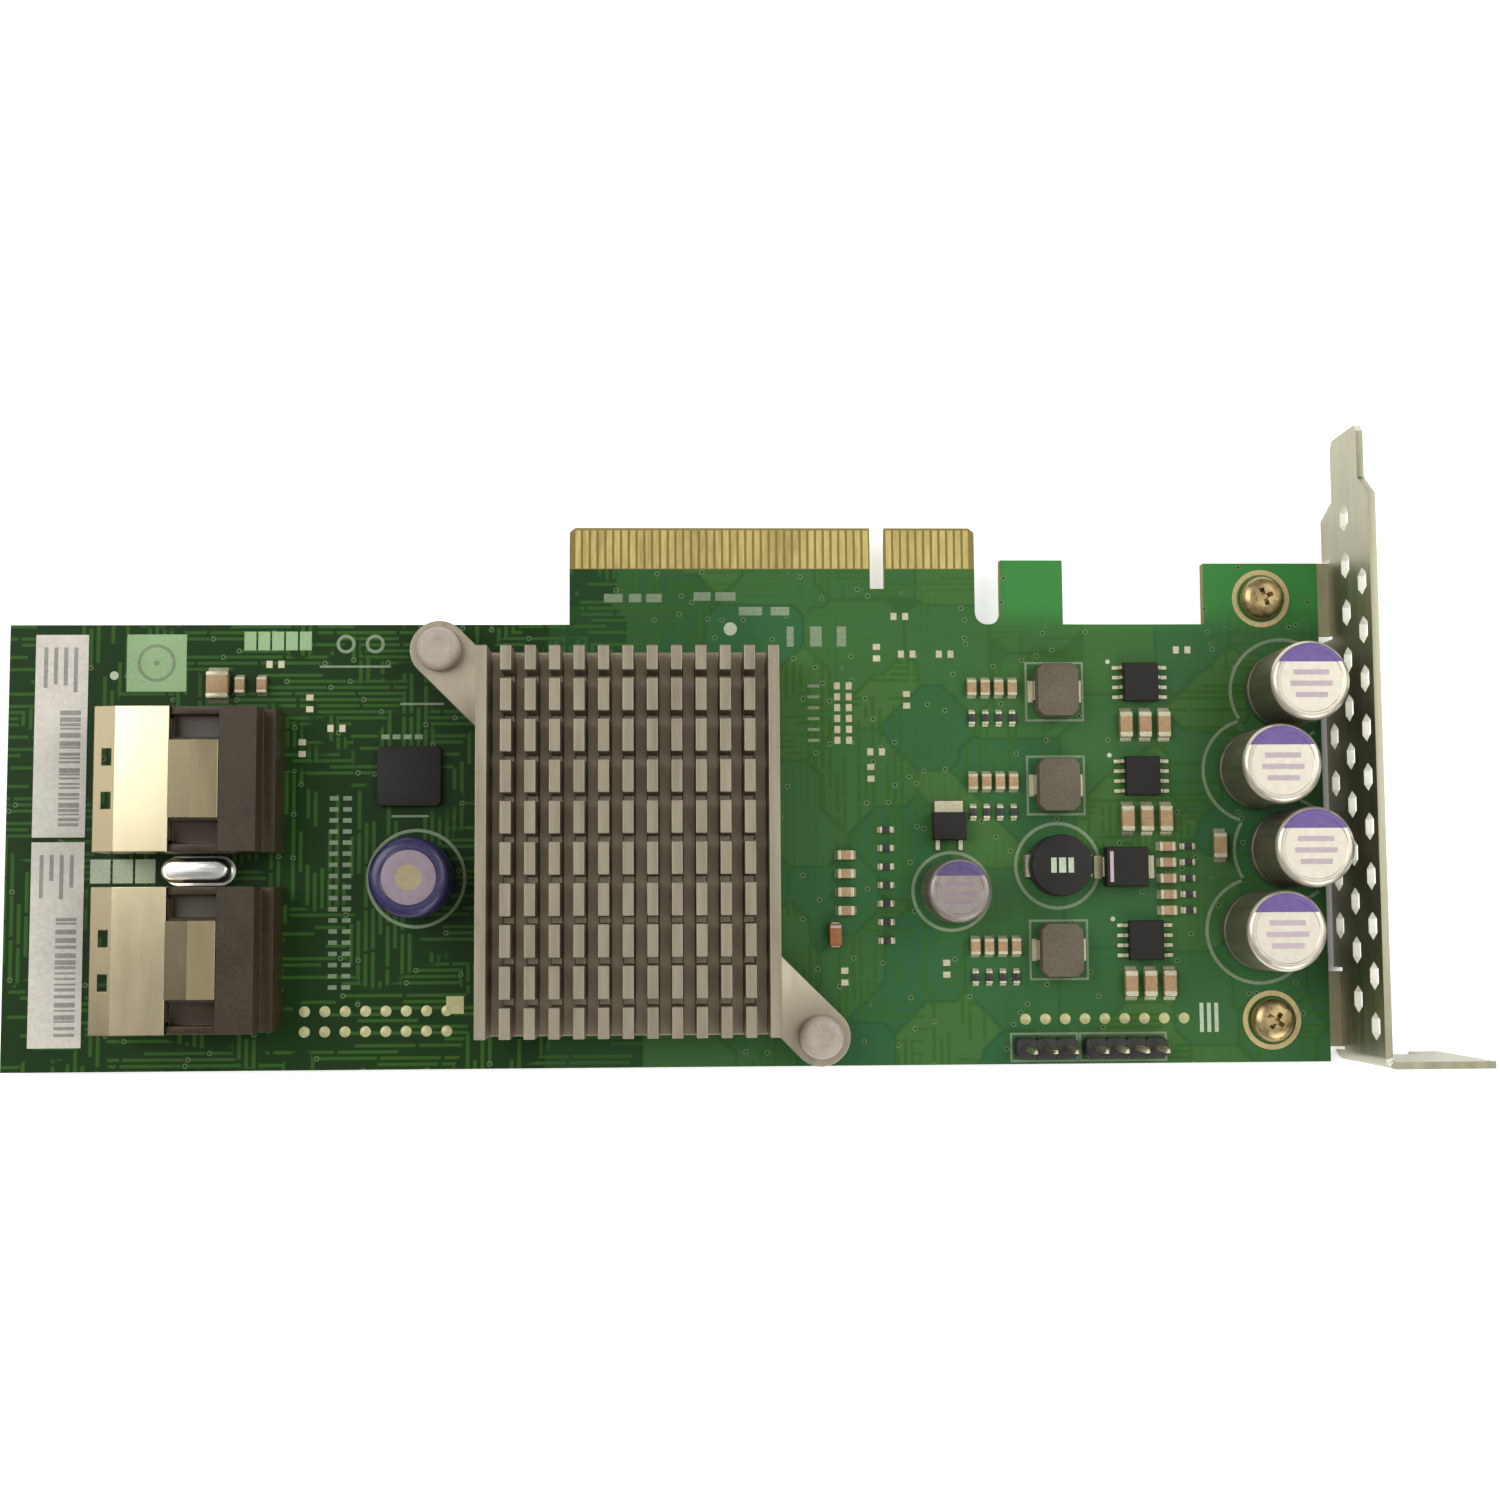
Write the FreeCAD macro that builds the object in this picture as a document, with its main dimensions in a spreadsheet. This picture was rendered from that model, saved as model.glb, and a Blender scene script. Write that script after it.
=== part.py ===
import FreeCAD, Part
import math
import os
import Sketcher

# Sizes in millimetres: "drop" is below the contact edge, "x" is right of the key slot's centre,
# "share" is the part of the way from the key slot to the tail
SIZES = [
    # routed board
    ("board_length", "167.65"),
    ("board_height", "68.9"),
    ("board_thick", "1.57"),
    ("under_room", "2.4"),
    ("key_to_end", "57.37"),
    ("key_width", "1.9"),
    ("key_depth", "8.0"),
    ("short_section", "11.65"),
    ("long_section", "38.65"),
    ("section_chamfer", "0.7"),
    ("tip_bevel", "0.4"),
    ("edge_drop", "12.64"),
    ("hook_gap", "3.32"),
    ("hook_gap_radius", "1.6"),
    ("hook_width", "8.1"),
    ("hook_drop", "4.27"),
    ("block_width", "14.97"),
    ("block_drop", "4.68"),
    # edge contacts
    ("finger_pitch", "1.0"),
    ("finger_width", "0.7"),
    ("finger_length", "4.97"),
    ("finger_thick", "0.05"),
    ("finger_first", "1.5"),
    # folded bracket
    ("bracket_width", "18.42"),
    ("bracket_height", "79.2"),
    ("bracket_gap", "2.0"),
    ("sheet", "0.9"),
    ("bend_radius", "0.5"),
    ("tongue_reach", "11.2"),
    ("tongue_width", "10.19"),
    ("tongue_step", "3.75"),
    ("tongue_chamfer", "0.9"),
    ("shoulder_reach", "1.6"),
    ("shoulder_rise", "2.8"),
    ("low_shoulder_rise", "1.7"),
    ("tab_length", "12.6"),
    ("tab_slot_width", "4.4"),
    ("tab_slot_depth", "4.9"),
    ("tab_slot_x", "6.4"),
    ("tab_slot_radius", "2.1"),
    ("vent_size", "3.0"),
    ("vent_pitch", "6.11"),
    ("vent_rise", "0.3"),
    ("vent_margin", "3.0"),
    ("ear_width", "9.6"),
    ("ear_reach", "14.2"),
    ("ear_relief", "0.5"),
    ("ear_notch", "3.4"),
    ("upper_ear_shift", "0.1"),
    ("lower_ear_shift", "1.3"),
    # screws
    ("screw_inset", "7.47"),
    ("upper_screw_drop", "9.3"),
    ("lower_screw_rise", "5.3"),
    ("screw_size", "2.9"),
    ("screw_clearance", "0.5"),
    ("thread_clearance", "0.1"),
    ("screw_head", "5.6"),
    ("screw_head_height", "1.9"),
    # controller and its heat sink
    ("sink_share", "0.28881"),
    ("sink_drop", "40.75"),
    ("sink_width", "37.05"),
    ("sink_length", "47.7"),
    ("sink_base", "2.6"),
    ("fin_pitch", "2.97"),
    ("fin_thick", "1.4"),
    ("fin_height", "7.2"),
    ("cut_first", "3.52"),
    ("cut_pitch", "4.99"),
    ("cut_width", "0.92"),
    ("cut_depth", "5.8"),
    ("chip_size", "27.0"),
    ("chip_substrate", "1.1"),
    ("chip_mould", "0.9"),
    ("chip_margin", "1.5"),
    ("pad_size", "24.0"),
    ("pad_thick", "0.5"),
    ("lug_width", "7.3"),
    ("lug_round", "3.55"),
    ("pin_out_x", "23.75"),
    ("pin_out_y", "24.2"),
    ("pin_size", "2.8"),
    ("pin_clearance", "0.3"),
    ("pin_head", "5.45"),
    ("pin_head_height", "1.9"),
    ("pin_barb", "0.5"),
    # cable ports
    ("port_share", "0.87776"),
    ("port_drop", "32.9"),
    ("port_pitch", "22.0"),
    ("port_width", "17.8"),
    ("port_height", "10.3"),
    ("shell_length", "9.2"),
    ("shell_thick", "0.35"),
    ("lip_length", "2.7"),
    ("lip_fall", "0.6"),
    ("window_length", "1.2"),
    ("window_width", "2.0"),
    ("window_inset", "1.05"),
    ("window_spread", "2.65"),
    ("strap_length", "5.9"),
    ("strap_width", "9.6"),
    ("strap_fold", "2.6"),
    ("strap_lift", "0.3"),
    ("housing_length", "10.5"),
    ("housing_step", "1.6"),
    ("housing_step_height", "6.2"),
    ("pocket_depth", "1.6"),
    ("pocket_gap", "0.3"),
    ("pocket_wall", "1.0"),
    ("floor_thick", "0.8"),
    ("floor_gap", "0.4"),
    ("nose_length", "4.6"),
    ("nose_gap", "1.0"),
    ("nose_lift", "1.4"),
    ("slot_width", "14.6"),
    ("slot_height", "1.9"),
    ("slot_depth", "4.2"),
    # cans
    ("can_size", "10.0"),
    ("can_height", "12.5"),
    ("can_far_x", "52.3"),
    ("can_near_x", "48.5"),
    ("can_drop", "21.4"),
    ("can_pitch", "10.27"),
    ("small_can_size", "8.0"),
    ("small_can_height", "8.0"),
    ("small_can_x", "9.05"),
    ("small_can_drop", "47.0"),
    ("sleeved_size", "10.0"),
    ("sleeved_height", "8.0"),
    ("sleeved_gap", "3.5"),
    ("sleeved_drop", "45.0"),
    ("crystal_length", "9.1"),
    ("crystal_width", "3.8"),
    ("crystal_height", "3.5"),
    ("crystal_round", "1.85"),
    ("crystal_share", "0.77893"),
    # power stages
    ("stage_one_drop", "20.8"),
    ("stage_two_drop", "32.9"),
    ("stage_three_drop", "53.9"),
    ("inductor_x", "22.7"),
    ("inductor_shift", "0.6"),
    ("inductor_length", "5.9"),
    ("inductor_width", "6.8"),
    ("inductor_height", "3.0"),
    ("inductor_chamfer", "0.8"),
    ("terminal_thick", "0.3"),
    ("terminal_width", "2.6"),
    ("terminal_height", "1.4"),
    ("switch_x", "33.75"),
    ("switch_shift", "0.55"),
    ("switch_length", "4.6"),
    ("switch_width", "5.05"),
    ("switch_height", "1.5"),
    ("switch_lift", "0.15"),
    ("lead_pitch", "1.27"),
    ("lead_width", "0.45"),
    ("lead_reach", "1.25"),
    ("lead_thick", "0.2"),
    ("lead_foot", "0.65"),
    # other parts
    ("choke_x", "22.73"),
    ("choke_drop", "43.8"),
    ("choke_size", "7.8"),
    ("choke_height", "3.4"),
    ("choke_foot_reach", "0.45"),
    ("choke_foot_width", "3.0"),
    ("choke_foot_height", "0.8"),
    ("rectifier_x", "31.3"),
    ("rectifier_drop", "44.0"),
    ("rectifier_length", "5.6"),
    ("rectifier_width", "5.1"),
    ("rectifier_height", "2.3"),
    ("regulator_x", "8.8"),
    ("regulator_drop", "38.7"),
    ("regulator_length", "4.4"),
    ("regulator_width", "3.6"),
    ("regulator_height", "1.8"),
    ("regulator_tab", "1.5"),
    ("regulator_lead", "1.3"),
    ("memory_gap", "5.35"),
    ("memory_drop", "32.06"),
    ("memory_length", "8.1"),
    ("memory_width", "7.64"),
    ("memory_height", "1.0"),
    ("header_pitch", "2.54"),
    ("header_depth", "2.6"),
    ("header_height", "2.5"),
    ("header_rise", "2.1"),
    ("header_three_x", "20.6"),
    ("header_four_x", "30.68"),
    ("header_pin", "0.64"),
    ("header_pin_height", "8.5"),
    ("tantalum_x", "-5.9"),
    ("tantalum_drop", "52.4"),
    ("tantalum_length", "3.2"),
    ("tantalum_width", "1.6"),
    ("tantalum_height", "1.6"),
    # small two-ended parts
    ("chip_wide", "3.4"),
    ("chip_wide_width", "2.7"),
    ("chip_wide_height", "1.4"),
    ("chip_long", "3.2"),
    ("chip_long_width", "1.6"),
    ("chip_long_height", "1.1"),
    ("chip_mid", "2.0"),
    ("chip_mid_width", "1.2"),
    ("chip_mid_height", "0.9"),
    ("chip_short", "1.6"),
    ("chip_short_width", "0.8"),
    ("chip_short_height", "0.45"),
    ("output_x", "31.8"),
    ("output_pitch", "2.47"),
    ("output_shift", "4.9"),
    ("input_x", "11.95"),
    ("input_pitch", "1.74"),
    ("input_shift", "0.1"),
    ("sense_shift", "4.0"),
    ("filter_x", "36.8"),
    ("filter_pitch_x", "2.75"),
    ("filter_drop", "41.4"),
    ("filter_pitch", "2.04"),
    ("left_column_x", "-4.5"),
    ("left_column_drop", "42.3"),
    ("right_column_x", "0.7"),
    ("right_column_drop", "39.1"),
    ("column_pitch", "2.35"),
    ("bypass_share", "0.7617"),
    ("bypass_drop", "20.4"),
    ("bypass_pitch", "2.75"),
    ("bulk_x", "43.65"),
    ("bulk_drop", "41.3"),
    # labels
    ("label_share", "0.94033"),
    ("label_width", "6.6"),
    ("label_drop", "13.9"),
    ("label_length", "25.7"),
    ("label_gap", "0.6"),
    ("label_thick", "0.1"),
]
# Clear length given to tools that cut right through
OVER = 1.0

doc = FreeCAD.newDocument("host_bus_adapter")
sheet = doc.addObject("Spreadsheet::Sheet", "Sizes")
for row, (name, value) in enumerate(SIZES, 1):
    sheet.set("A%d" % row, name)
    sheet.set("B%d" % row, value)
    sheet.setAlias("B%d" % row, name)
doc.recompute()


class Size:
    """A length kept as a number and as the sheet expression that gives it."""

    def __init__(self, value, text):
        self.value = value
        self.text = text

    def join(self, sign, other, value):
        return Size(value, "(%s %s %s)" % (self.text, sign, as_text(other)))

    def __float__(self):
        return self.value

    def __neg__(self):
        return Size(-self.value, "(0 - %s)" % self.text)

    def __add__(self, other):
        return self.join("+", other, self.value + float(other))

    def __radd__(self, other):
        return self + other

    def __sub__(self, other):
        return self.join("-", other, self.value - float(other))

    def __mul__(self, other):
        return self.join("*", other, self.value * float(other))

    def __truediv__(self, other):
        return self.join("/", other, self.value / float(other))


class Named:
    """The sheet's sizes by name."""


def as_text(length):
    return length.text if isinstance(length, Size) else "%.9g" % length


dim = Named()
for name, value in SIZES:
    setattr(dim, name, Size(float(value), "Sizes." + name))


def bind(thing, prop, length):
    thing.setExpression(prop, as_text(length))


def place(thing, x, y, z):
    for axis, length in zip("xyz", (x, y, z)):
        bind(thing, "Placement.Base." + axis, length)


# Primitives and booleans
def box(x, y, z, length, width, height):
    """A box centred on x and y, standing on z."""
    thing = doc.addObject("Part::Box", "Box")
    bind(thing, "Length", length)
    bind(thing, "Width", width)
    bind(thing, "Height", height)
    place(thing, x - length / 2, y - width / 2, z)
    return thing


def join(things):
    thing = doc.addObject("Part::MultiFuse", "Join")
    thing.Shapes = things
    return thing


def group(things):
    thing = doc.addObject("Part::Compound", "Group")
    thing.Links = things
    return thing


# Bodies, sketches and features
def new_body(many=False):
    body = doc.addObject("PartDesign::Body", "Body")
    body.AllowCompound = many
    return body


def origin(body, role):
    return next(part for part in body.Origin.OriginFeatures if part.Role == role)


def sketch_on(body, role, offset):
    sketch = body.newObject("Sketcher::SketchObject", "Sketch")
    sketch.AttachmentSupport = [(origin(body, role), "")]
    sketch.MapMode = "FlatFace"
    bind(sketch, "AttachmentOffset.Base.z", offset)
    return sketch


def hold(sketch, kind, geo, pos, length):
    number = sketch.addConstraint(Sketcher.Constraint(kind, -1, 1, geo, pos, float(length)))
    if isinstance(length, Size):
        sketch.setExpression("Constraints[%d]" % number, length.text)


def hold_point(sketch, geo, pos, x, y):
    hold(sketch, "DistanceX", geo, pos, x)
    hold(sketch, "DistanceY", geo, pos, y)


def outline(sketch, points):
    """Close a loop through points given as (x, y) or, for a rounded corner, (x, y, radius)."""
    count = len(points)
    spots = [FreeCAD.Vector(float(point[0]), float(point[1]), 0) for point in points]
    starts = list(spots)
    ends = list(spots)
    middles = [None] * count
    for i, point in enumerate(points):
        if len(point) < 3:
            continue
        back = (spots[i - 1] - spots[i]).normalize()
        ahead = (spots[(i + 1) % count] - spots[i]).normalize()
        half = back.getAngle(ahead) / 2
        run = float(point[2]) / math.tan(half)
        ends[i] = spots[i] + back * run
        starts[i] = spots[i] + ahead * run
        reach = float(point[2]) / math.sin(half)
        middles[i] = spots[i] + (back + ahead).normalize() * (reach - float(point[2]))
    lines = []
    for i in range(count):
        segment = Part.LineSegment(starts[i], ends[(i + 1) % count])
        lines.append(sketch.addGeometry(segment, False))
    for i, point in enumerate(points):
        before = lines[i - 1]
        after = lines[i]
        if len(point) < 3:
            sketch.addConstraint(Sketcher.Constraint("Coincident", before, 2, after, 1))
            hold_point(sketch, after, 1, point[0], point[1])
            continue
        arc = sketch.addGeometry(Part.Arc(ends[i], middles[i], starts[i]), False)
        turn = (spots[i] - spots[i - 1]).cross(spots[(i + 1) % count] - spots[i]).z
        first, last = (1, 2) if turn > 0 else (2, 1)
        corner = sketch.addGeometry(Part.Point(spots[i]), True)
        hold_point(sketch, corner, 1, point[0], point[1])
        sketch.addConstraint(Sketcher.Constraint("PointOnObject", corner, 1, before))
        sketch.addConstraint(Sketcher.Constraint("PointOnObject", corner, 1, after))
        sketch.addConstraint(Sketcher.Constraint("Tangent", before, 2, arc, first))
        sketch.addConstraint(Sketcher.Constraint("Tangent", arc, last, after, 1))
        number = sketch.addConstraint(Sketcher.Constraint("Radius", arc, float(point[2])))
        if isinstance(point[2], Size):
            sketch.setExpression("Constraints[%d]" % number, point[2].text)


def rectangle(sketch, x, y, length, width):
    outline(sketch, [(x, y), (x + length, y), (x + length, y + width), (x, y + width)])


def circle(sketch, x, y, size):
    centre = FreeCAD.Vector(float(x), float(y), 0)
    ring = sketch.addGeometry(Part.Circle(centre, FreeCAD.Vector(0, 0, 1), float(size) / 2), False)
    hold_point(sketch, ring, 3, x, y)
    number = sketch.addConstraint(Sketcher.Constraint("Diameter", ring, float(size)))
    sketch.setExpression("Constraints[%d]" % number, size.text)


def hexagon(sketch, x, y, flats):
    """A hexagon with corners left and right, sized across its flats."""
    side = flats / math.sqrt(3)
    outline(sketch, [
        (x - side, y),
        (x - side / 2, y - flats / 2),
        (x + side / 2, y - flats / 2),
        (x + side, y),
        (x + side / 2, y + flats / 2),
        (x - side / 2, y + flats / 2),
    ])


def feature(body, kind, sketch, length):
    thing = body.newObject("PartDesign::" + kind, kind)
    thing.Profile = sketch
    bind(thing, "Length", length)
    body.Tip = thing
    return thing


def how_many(run, spacing):
    """How many like pieces stand along a run, the first at its start."""
    return int(float(run) / float(spacing)) + 1


def repeat(body, original, role, spacing, count, back=False):
    thing = body.newObject("PartDesign::LinearPattern", "Row")
    thing.Originals = [original]
    thing.Direction = (origin(body, role), [""])
    thing.Mode = "Spacing"
    bind(thing, "Offset", spacing)
    thing.Occurrences = count
    thing.Reversed = back
    body.Tip = thing
    return thing


def revolve(x, y, z, points):
    """A turned piece: points give radius and height."""
    body = new_body()
    sketch = sketch_on(body, "XZ_Plane", 0)
    outline(sketch, points)
    turn = body.newObject("PartDesign::Revolution", "Turn")
    turn.Profile = sketch
    turn.ReferenceAxis = (sketch, ["V_Axis"])
    turn.Angle = 360
    body.Tip = turn
    place(body, x, y, z)
    return body


nodes = []


def node(label, thing):
    thing.Label = label
    nodes.append(thing)


# Shared places: the part lies component side up, centred on its overall box
overall_length = dim.board_length + dim.bracket_gap + dim.sheet + dim.tab_length
overall_height = dim.bracket_height + dim.sheet
tail_x = -(overall_length / 2)
end_x = tail_x + dim.board_length
key_x = end_x - dim.key_to_end
tail_run = key_x - tail_x
tab_y = -(overall_height / 2)
tip_y = overall_height / 2 - dim.tongue_reach
low_y = tip_y - dim.board_height
under_z = dim.under_room
board_z = under_z + dim.board_thick
screw_x = end_x - dim.screw_inset
screw_ys = [tip_y - dim.upper_screw_drop, low_y + dim.lower_screw_rise]
sink_x = key_x - tail_run * dim.sink_share
sink_y = tip_y - dim.sink_drop
pins = [
    (sink_x - dim.pin_out_x, sink_y + dim.pin_out_y),
    (sink_x + dim.pin_out_x, sink_y - dim.pin_out_y),
]
sink_z = board_z + dim.chip_substrate + dim.chip_mould + dim.pad_thick
screw_hole = dim.screw_size + dim.screw_clearance
pin_hole = dim.pin_size + dim.pin_clearance

# Board: routed outline with key slot, hook and notch, then holes and the bevelled contact edge
board = new_body()
sketch = sketch_on(board, "XY_Plane", under_z)
section_right = key_x + dim.key_width / 2 + dim.short_section
section_left = key_x - dim.key_width / 2 - dim.long_section
hook_left = section_right + dim.hook_gap
hook_right = hook_left + dim.hook_width
block_left = end_x - dim.block_width
edge_y = tip_y - dim.edge_drop
outline(sketch, [
    (tail_x, low_y),
    (end_x, low_y),
    (end_x, tip_y - dim.block_drop),
    (block_left, tip_y - dim.block_drop),
    (block_left, edge_y),
    (hook_right, edge_y),
    (hook_right, tip_y - dim.hook_drop),
    (hook_left, tip_y - dim.hook_drop),
    (hook_left, edge_y, dim.hook_gap_radius),
    (section_right, edge_y, dim.hook_gap_radius),
    (section_right, tip_y - dim.section_chamfer),
    (section_right - dim.section_chamfer, tip_y),
    (key_x + dim.key_width / 2, tip_y),
    (key_x + dim.key_width / 2, tip_y - dim.key_depth),
    (key_x - dim.key_width / 2, tip_y - dim.key_depth),
    (key_x - dim.key_width / 2, tip_y),
    (section_left + dim.section_chamfer, tip_y),
    (section_left, tip_y - dim.section_chamfer),
    (section_left, edge_y),
    (tail_x, edge_y),
])
feature(board, "Pad", sketch, dim.board_thick)
sketch = sketch_on(board, "XY_Plane", board_z + OVER)
for y in screw_ys:
    circle(sketch, screw_x, y, screw_hole)
for x, y in pins:
    circle(sketch, x, y, pin_hole)
feature(board, "Pocket", sketch, dim.board_thick + 2 * OVER)
sketch = sketch_on(board, "YZ_Plane", end_x + OVER)
for face_z, out in ((board_z, 1), (under_z, -1)):
    outline(sketch, [
        (tip_y - dim.tip_bevel, face_z),
        (tip_y, face_z - dim.tip_bevel * out),
        (tip_y + OVER, face_z - dim.tip_bevel * out),
        (tip_y + OVER, face_z + OVER * out),
        (tip_y - dim.tip_bevel, face_z + OVER * out),
    ])
feature(board, "Pocket", sketch, dim.board_length + 2 * OVER)
node("pcb", board)

# Edge contacts: two runs of fingers on each face, split by the key slot
faces = (("edge_contacts_front", board_z), ("edge_contacts_back", under_z - dim.finger_thick))
for label, z in faces:
    body = new_body(many=True)
    finger_y = tip_y - dim.tip_bevel - dim.finger_length
    for side, section in ((1, dim.short_section), (-1, dim.long_section)):
        run = section + dim.key_width / 2 - dim.finger_first - dim.finger_width / 2
        sketch = sketch_on(body, "XY_Plane", z)
        rectangle(sketch, key_x + dim.finger_first * side - dim.finger_width / 2, finger_y,
                  dim.finger_width, dim.finger_length)
        finger = feature(body, "Pad", sketch, dim.finger_thick)
        repeat(body, finger, "X_Axis", dim.finger_pitch, how_many(run, dim.finger_pitch), back=side < 0)
    node(label, body)

# Controller package and the pad that carries its heat to the sink
mould = dim.chip_size - dim.chip_margin * 2
node("controller_chip", join([
    box(sink_x, sink_y, board_z, dim.chip_size, dim.chip_size, dim.chip_substrate),
    box(sink_x, sink_y, board_z + dim.chip_substrate, mould, mould, dim.chip_mould),
]))
node("thermal_pad", box(sink_x, sink_y, sink_z - dim.pad_thick, dim.pad_size, dim.pad_size,
                        dim.pad_thick))

# Heat sink: base with two diagonal lugs, a row of fins, then cross cuts between the outer walls
sink = new_body()
fins = how_many(dim.sink_width - dim.fin_thick, dim.fin_pitch)
sink_width = dim.fin_pitch * (fins - 1) + dim.fin_thick
sink_left = sink_x - sink_width / 2
sink_low = sink_y - dim.sink_length / 2
sketch = sketch_on(sink, "XY_Plane", sink_z)
rectangle(sketch, sink_left, sink_low, sink_width, dim.sink_length)
feature(sink, "Pad", sketch, dim.sink_base)
across = dim.lug_width * math.sqrt(0.125)
for (x, y), side in zip(pins, (1, -1)):
    sketch = sketch_on(sink, "XY_Plane", sink_z)
    root = (dim.pin_out_x - sink_width / 2 + dim.lug_width) * side
    outline(sketch, [
        (x - across * side * 2, y, dim.lug_round),
        (x - across * side + root, y - across * side - root),
        (x + across * side + root, y + across * side - root),
        (x, y + across * side * 2, dim.lug_round),
    ])
    feature(sink, "Pad", sketch, dim.sink_base)
sketch = sketch_on(sink, "XY_Plane", sink_z + dim.sink_base + OVER)
for x, y in pins:
    circle(sketch, x, y, pin_hole)
feature(sink, "Pocket", sketch, dim.sink_base + 2 * OVER)
sketch = sketch_on(sink, "XY_Plane", sink_z + dim.sink_base)
rectangle(sketch, sink_left, sink_low, dim.fin_thick, dim.sink_length)
fin = feature(sink, "Pad", sketch, dim.fin_height)
repeat(sink, fin, "X_Axis", dim.fin_pitch, fins)
sketch = sketch_on(sink, "XY_Plane", sink_z + dim.sink_base + dim.fin_height + OVER)
cut_y = sink_low + dim.sink_length - dim.cut_first - dim.cut_width / 2
rectangle(sketch, sink_left + dim.fin_thick, cut_y, sink_width - dim.fin_thick * 2, dim.cut_width)
slit = feature(sink, "Pocket", sketch, dim.cut_depth + OVER)
cuts = how_many(dim.sink_length - dim.cut_first * 2, dim.cut_pitch)
repeat(sink, slit, "Y_Axis", dim.cut_pitch, cuts, back=True)
node("heat_sink", sink)

# Push pins: head on the lug, shank through lug and board, barb under the board
pin_r = dim.pin_size / 2
head_r = dim.pin_head / 2
barb_r = pin_hole / 2 + dim.pin_barb / 2
lug_z = sink_z + dim.sink_base
for label, (x, y) in zip(("push_pin_a", "push_pin_b"), pins):
    node(label, revolve(x, y, 0, [
        (0, 0),
        (barb_r, 0),
        (barb_r, under_z),
        (pin_r, under_z),
        (pin_r, lug_z),
        (head_r, lug_z),
        (head_r, lug_z + dim.pin_head_height),
        (0, lug_z + dim.pin_head_height),
    ]))

# Cable ports: folded shell with latch windows and a strap, moulded housing with a floor, two
# pockets beside the strap and a card slot
mouth_x = key_x - tail_run * dim.port_share
back_x = mouth_x + dim.shell_length
top_z = board_z + dim.port_height
under_top = top_z - dim.shell_thick
for letter, y in (("a", tip_y - dim.port_drop), ("b", tip_y - dim.port_drop - dim.port_pitch)):
    shell = new_body()
    sketch = sketch_on(shell, "XZ_Plane", -(y + dim.port_width / 2))
    outline(sketch, [
        (mouth_x, under_top - dim.lip_fall),
        (mouth_x + dim.lip_length, under_top),
        (back_x, under_top),
        (back_x, top_z),
        (mouth_x + dim.lip_length, top_z),
        (mouth_x, top_z - dim.lip_fall),
    ])
    feature(shell, "Pad", sketch, dim.port_width)
    for low in (y - dim.port_width / 2, y + dim.port_width / 2 - dim.shell_thick):
        sketch = sketch_on(shell, "XZ_Plane", -(low + dim.shell_thick))
        outline(sketch, [
            (mouth_x, board_z),
            (back_x, board_z),
            (back_x, top_z),
            (mouth_x + dim.lip_length, top_z),
            (mouth_x, top_z - dim.lip_fall),
        ])
        feature(shell, "Pad", sketch, dim.shell_thick)
    sketch = sketch_on(shell, "XZ_Plane", -(y + dim.strap_width / 2))
    outline(sketch, [
        (back_x, under_top),
        (back_x + dim.strap_fold, under_top),
        (back_x + dim.strap_length, under_top - dim.strap_lift),
        (back_x + dim.strap_length, top_z - dim.strap_lift),
        (back_x + dim.strap_fold, top_z),
        (back_x, top_z),
    ])
    feature(shell, "Pad", sketch, dim.strap_width)
    sketch = sketch_on(shell, "XY_Plane", top_z + OVER)
    for side in (1, -1):
        window_y = y + dim.window_spread * side - dim.window_width / 2
        rectangle(sketch, mouth_x + dim.window_inset, window_y, dim.window_length, dim.window_width)
    feature(shell, "Pocket", sketch, dim.lip_fall + dim.shell_thick + 2 * OVER)
    node("port_%s_shell" % letter, shell)

    housing = new_body()
    sketch = sketch_on(housing, "XZ_Plane", -(y + dim.port_width / 2))
    outline(sketch, [
        (back_x, board_z),
        (back_x + dim.housing_length + dim.housing_step, board_z),
        (back_x + dim.housing_length + dim.housing_step, board_z + dim.housing_step_height),
        (back_x + dim.housing_length, board_z + dim.housing_step_height),
        (back_x + dim.housing_length, under_top),
        (back_x + dim.strap_length, under_top),
        (back_x + dim.strap_length, under_top - dim.strap_lift),
        (back_x, under_top - dim.strap_lift),
    ])
    feature(housing, "Pad", sketch, dim.port_width)
    sketch = sketch_on(housing, "XY_Plane", board_z + dim.port_height)
    pocket_width = (dim.port_width - dim.strap_width) / 2 - dim.pocket_gap - dim.pocket_wall
    for low in (y - dim.port_width / 2 + dim.pocket_wall, y + dim.strap_width / 2 + dim.pocket_gap):
        rectangle(sketch, back_x, low, dim.strap_length, pocket_width)
    feature(housing, "Pocket", sketch, dim.shell_thick + dim.strap_lift + dim.pocket_depth)
    floor_width = dim.port_width - (dim.shell_thick + dim.floor_gap) * 2
    sketch = sketch_on(housing, "XY_Plane", board_z)
    rectangle(sketch, mouth_x + dim.floor_gap, y - floor_width / 2, dim.shell_length - dim.floor_gap,
              floor_width)
    feature(housing, "Pad", sketch, dim.floor_thick)
    nose_width = dim.port_width - (dim.shell_thick + dim.nose_gap) * 2
    nose_z = board_z + dim.nose_lift
    nose_height = dim.port_height - dim.shell_thick - dim.nose_gap - dim.nose_lift
    sketch = sketch_on(housing, "YZ_Plane", back_x - dim.nose_length)
    rectangle(sketch, y - nose_width / 2, nose_z, nose_width, nose_height)
    feature(housing, "Pad", sketch, dim.nose_length)
    slot_z = nose_z + (nose_height - dim.slot_height) / 2
    sketch = sketch_on(housing, "YZ_Plane", back_x - dim.nose_length + dim.slot_depth)
    rectangle(sketch, y - dim.slot_width / 2, slot_z, dim.slot_width, dim.slot_height)
    feature(housing, "Pocket", sketch, dim.slot_depth + OVER)
    node("port_%s_housing" % letter, housing)

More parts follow.
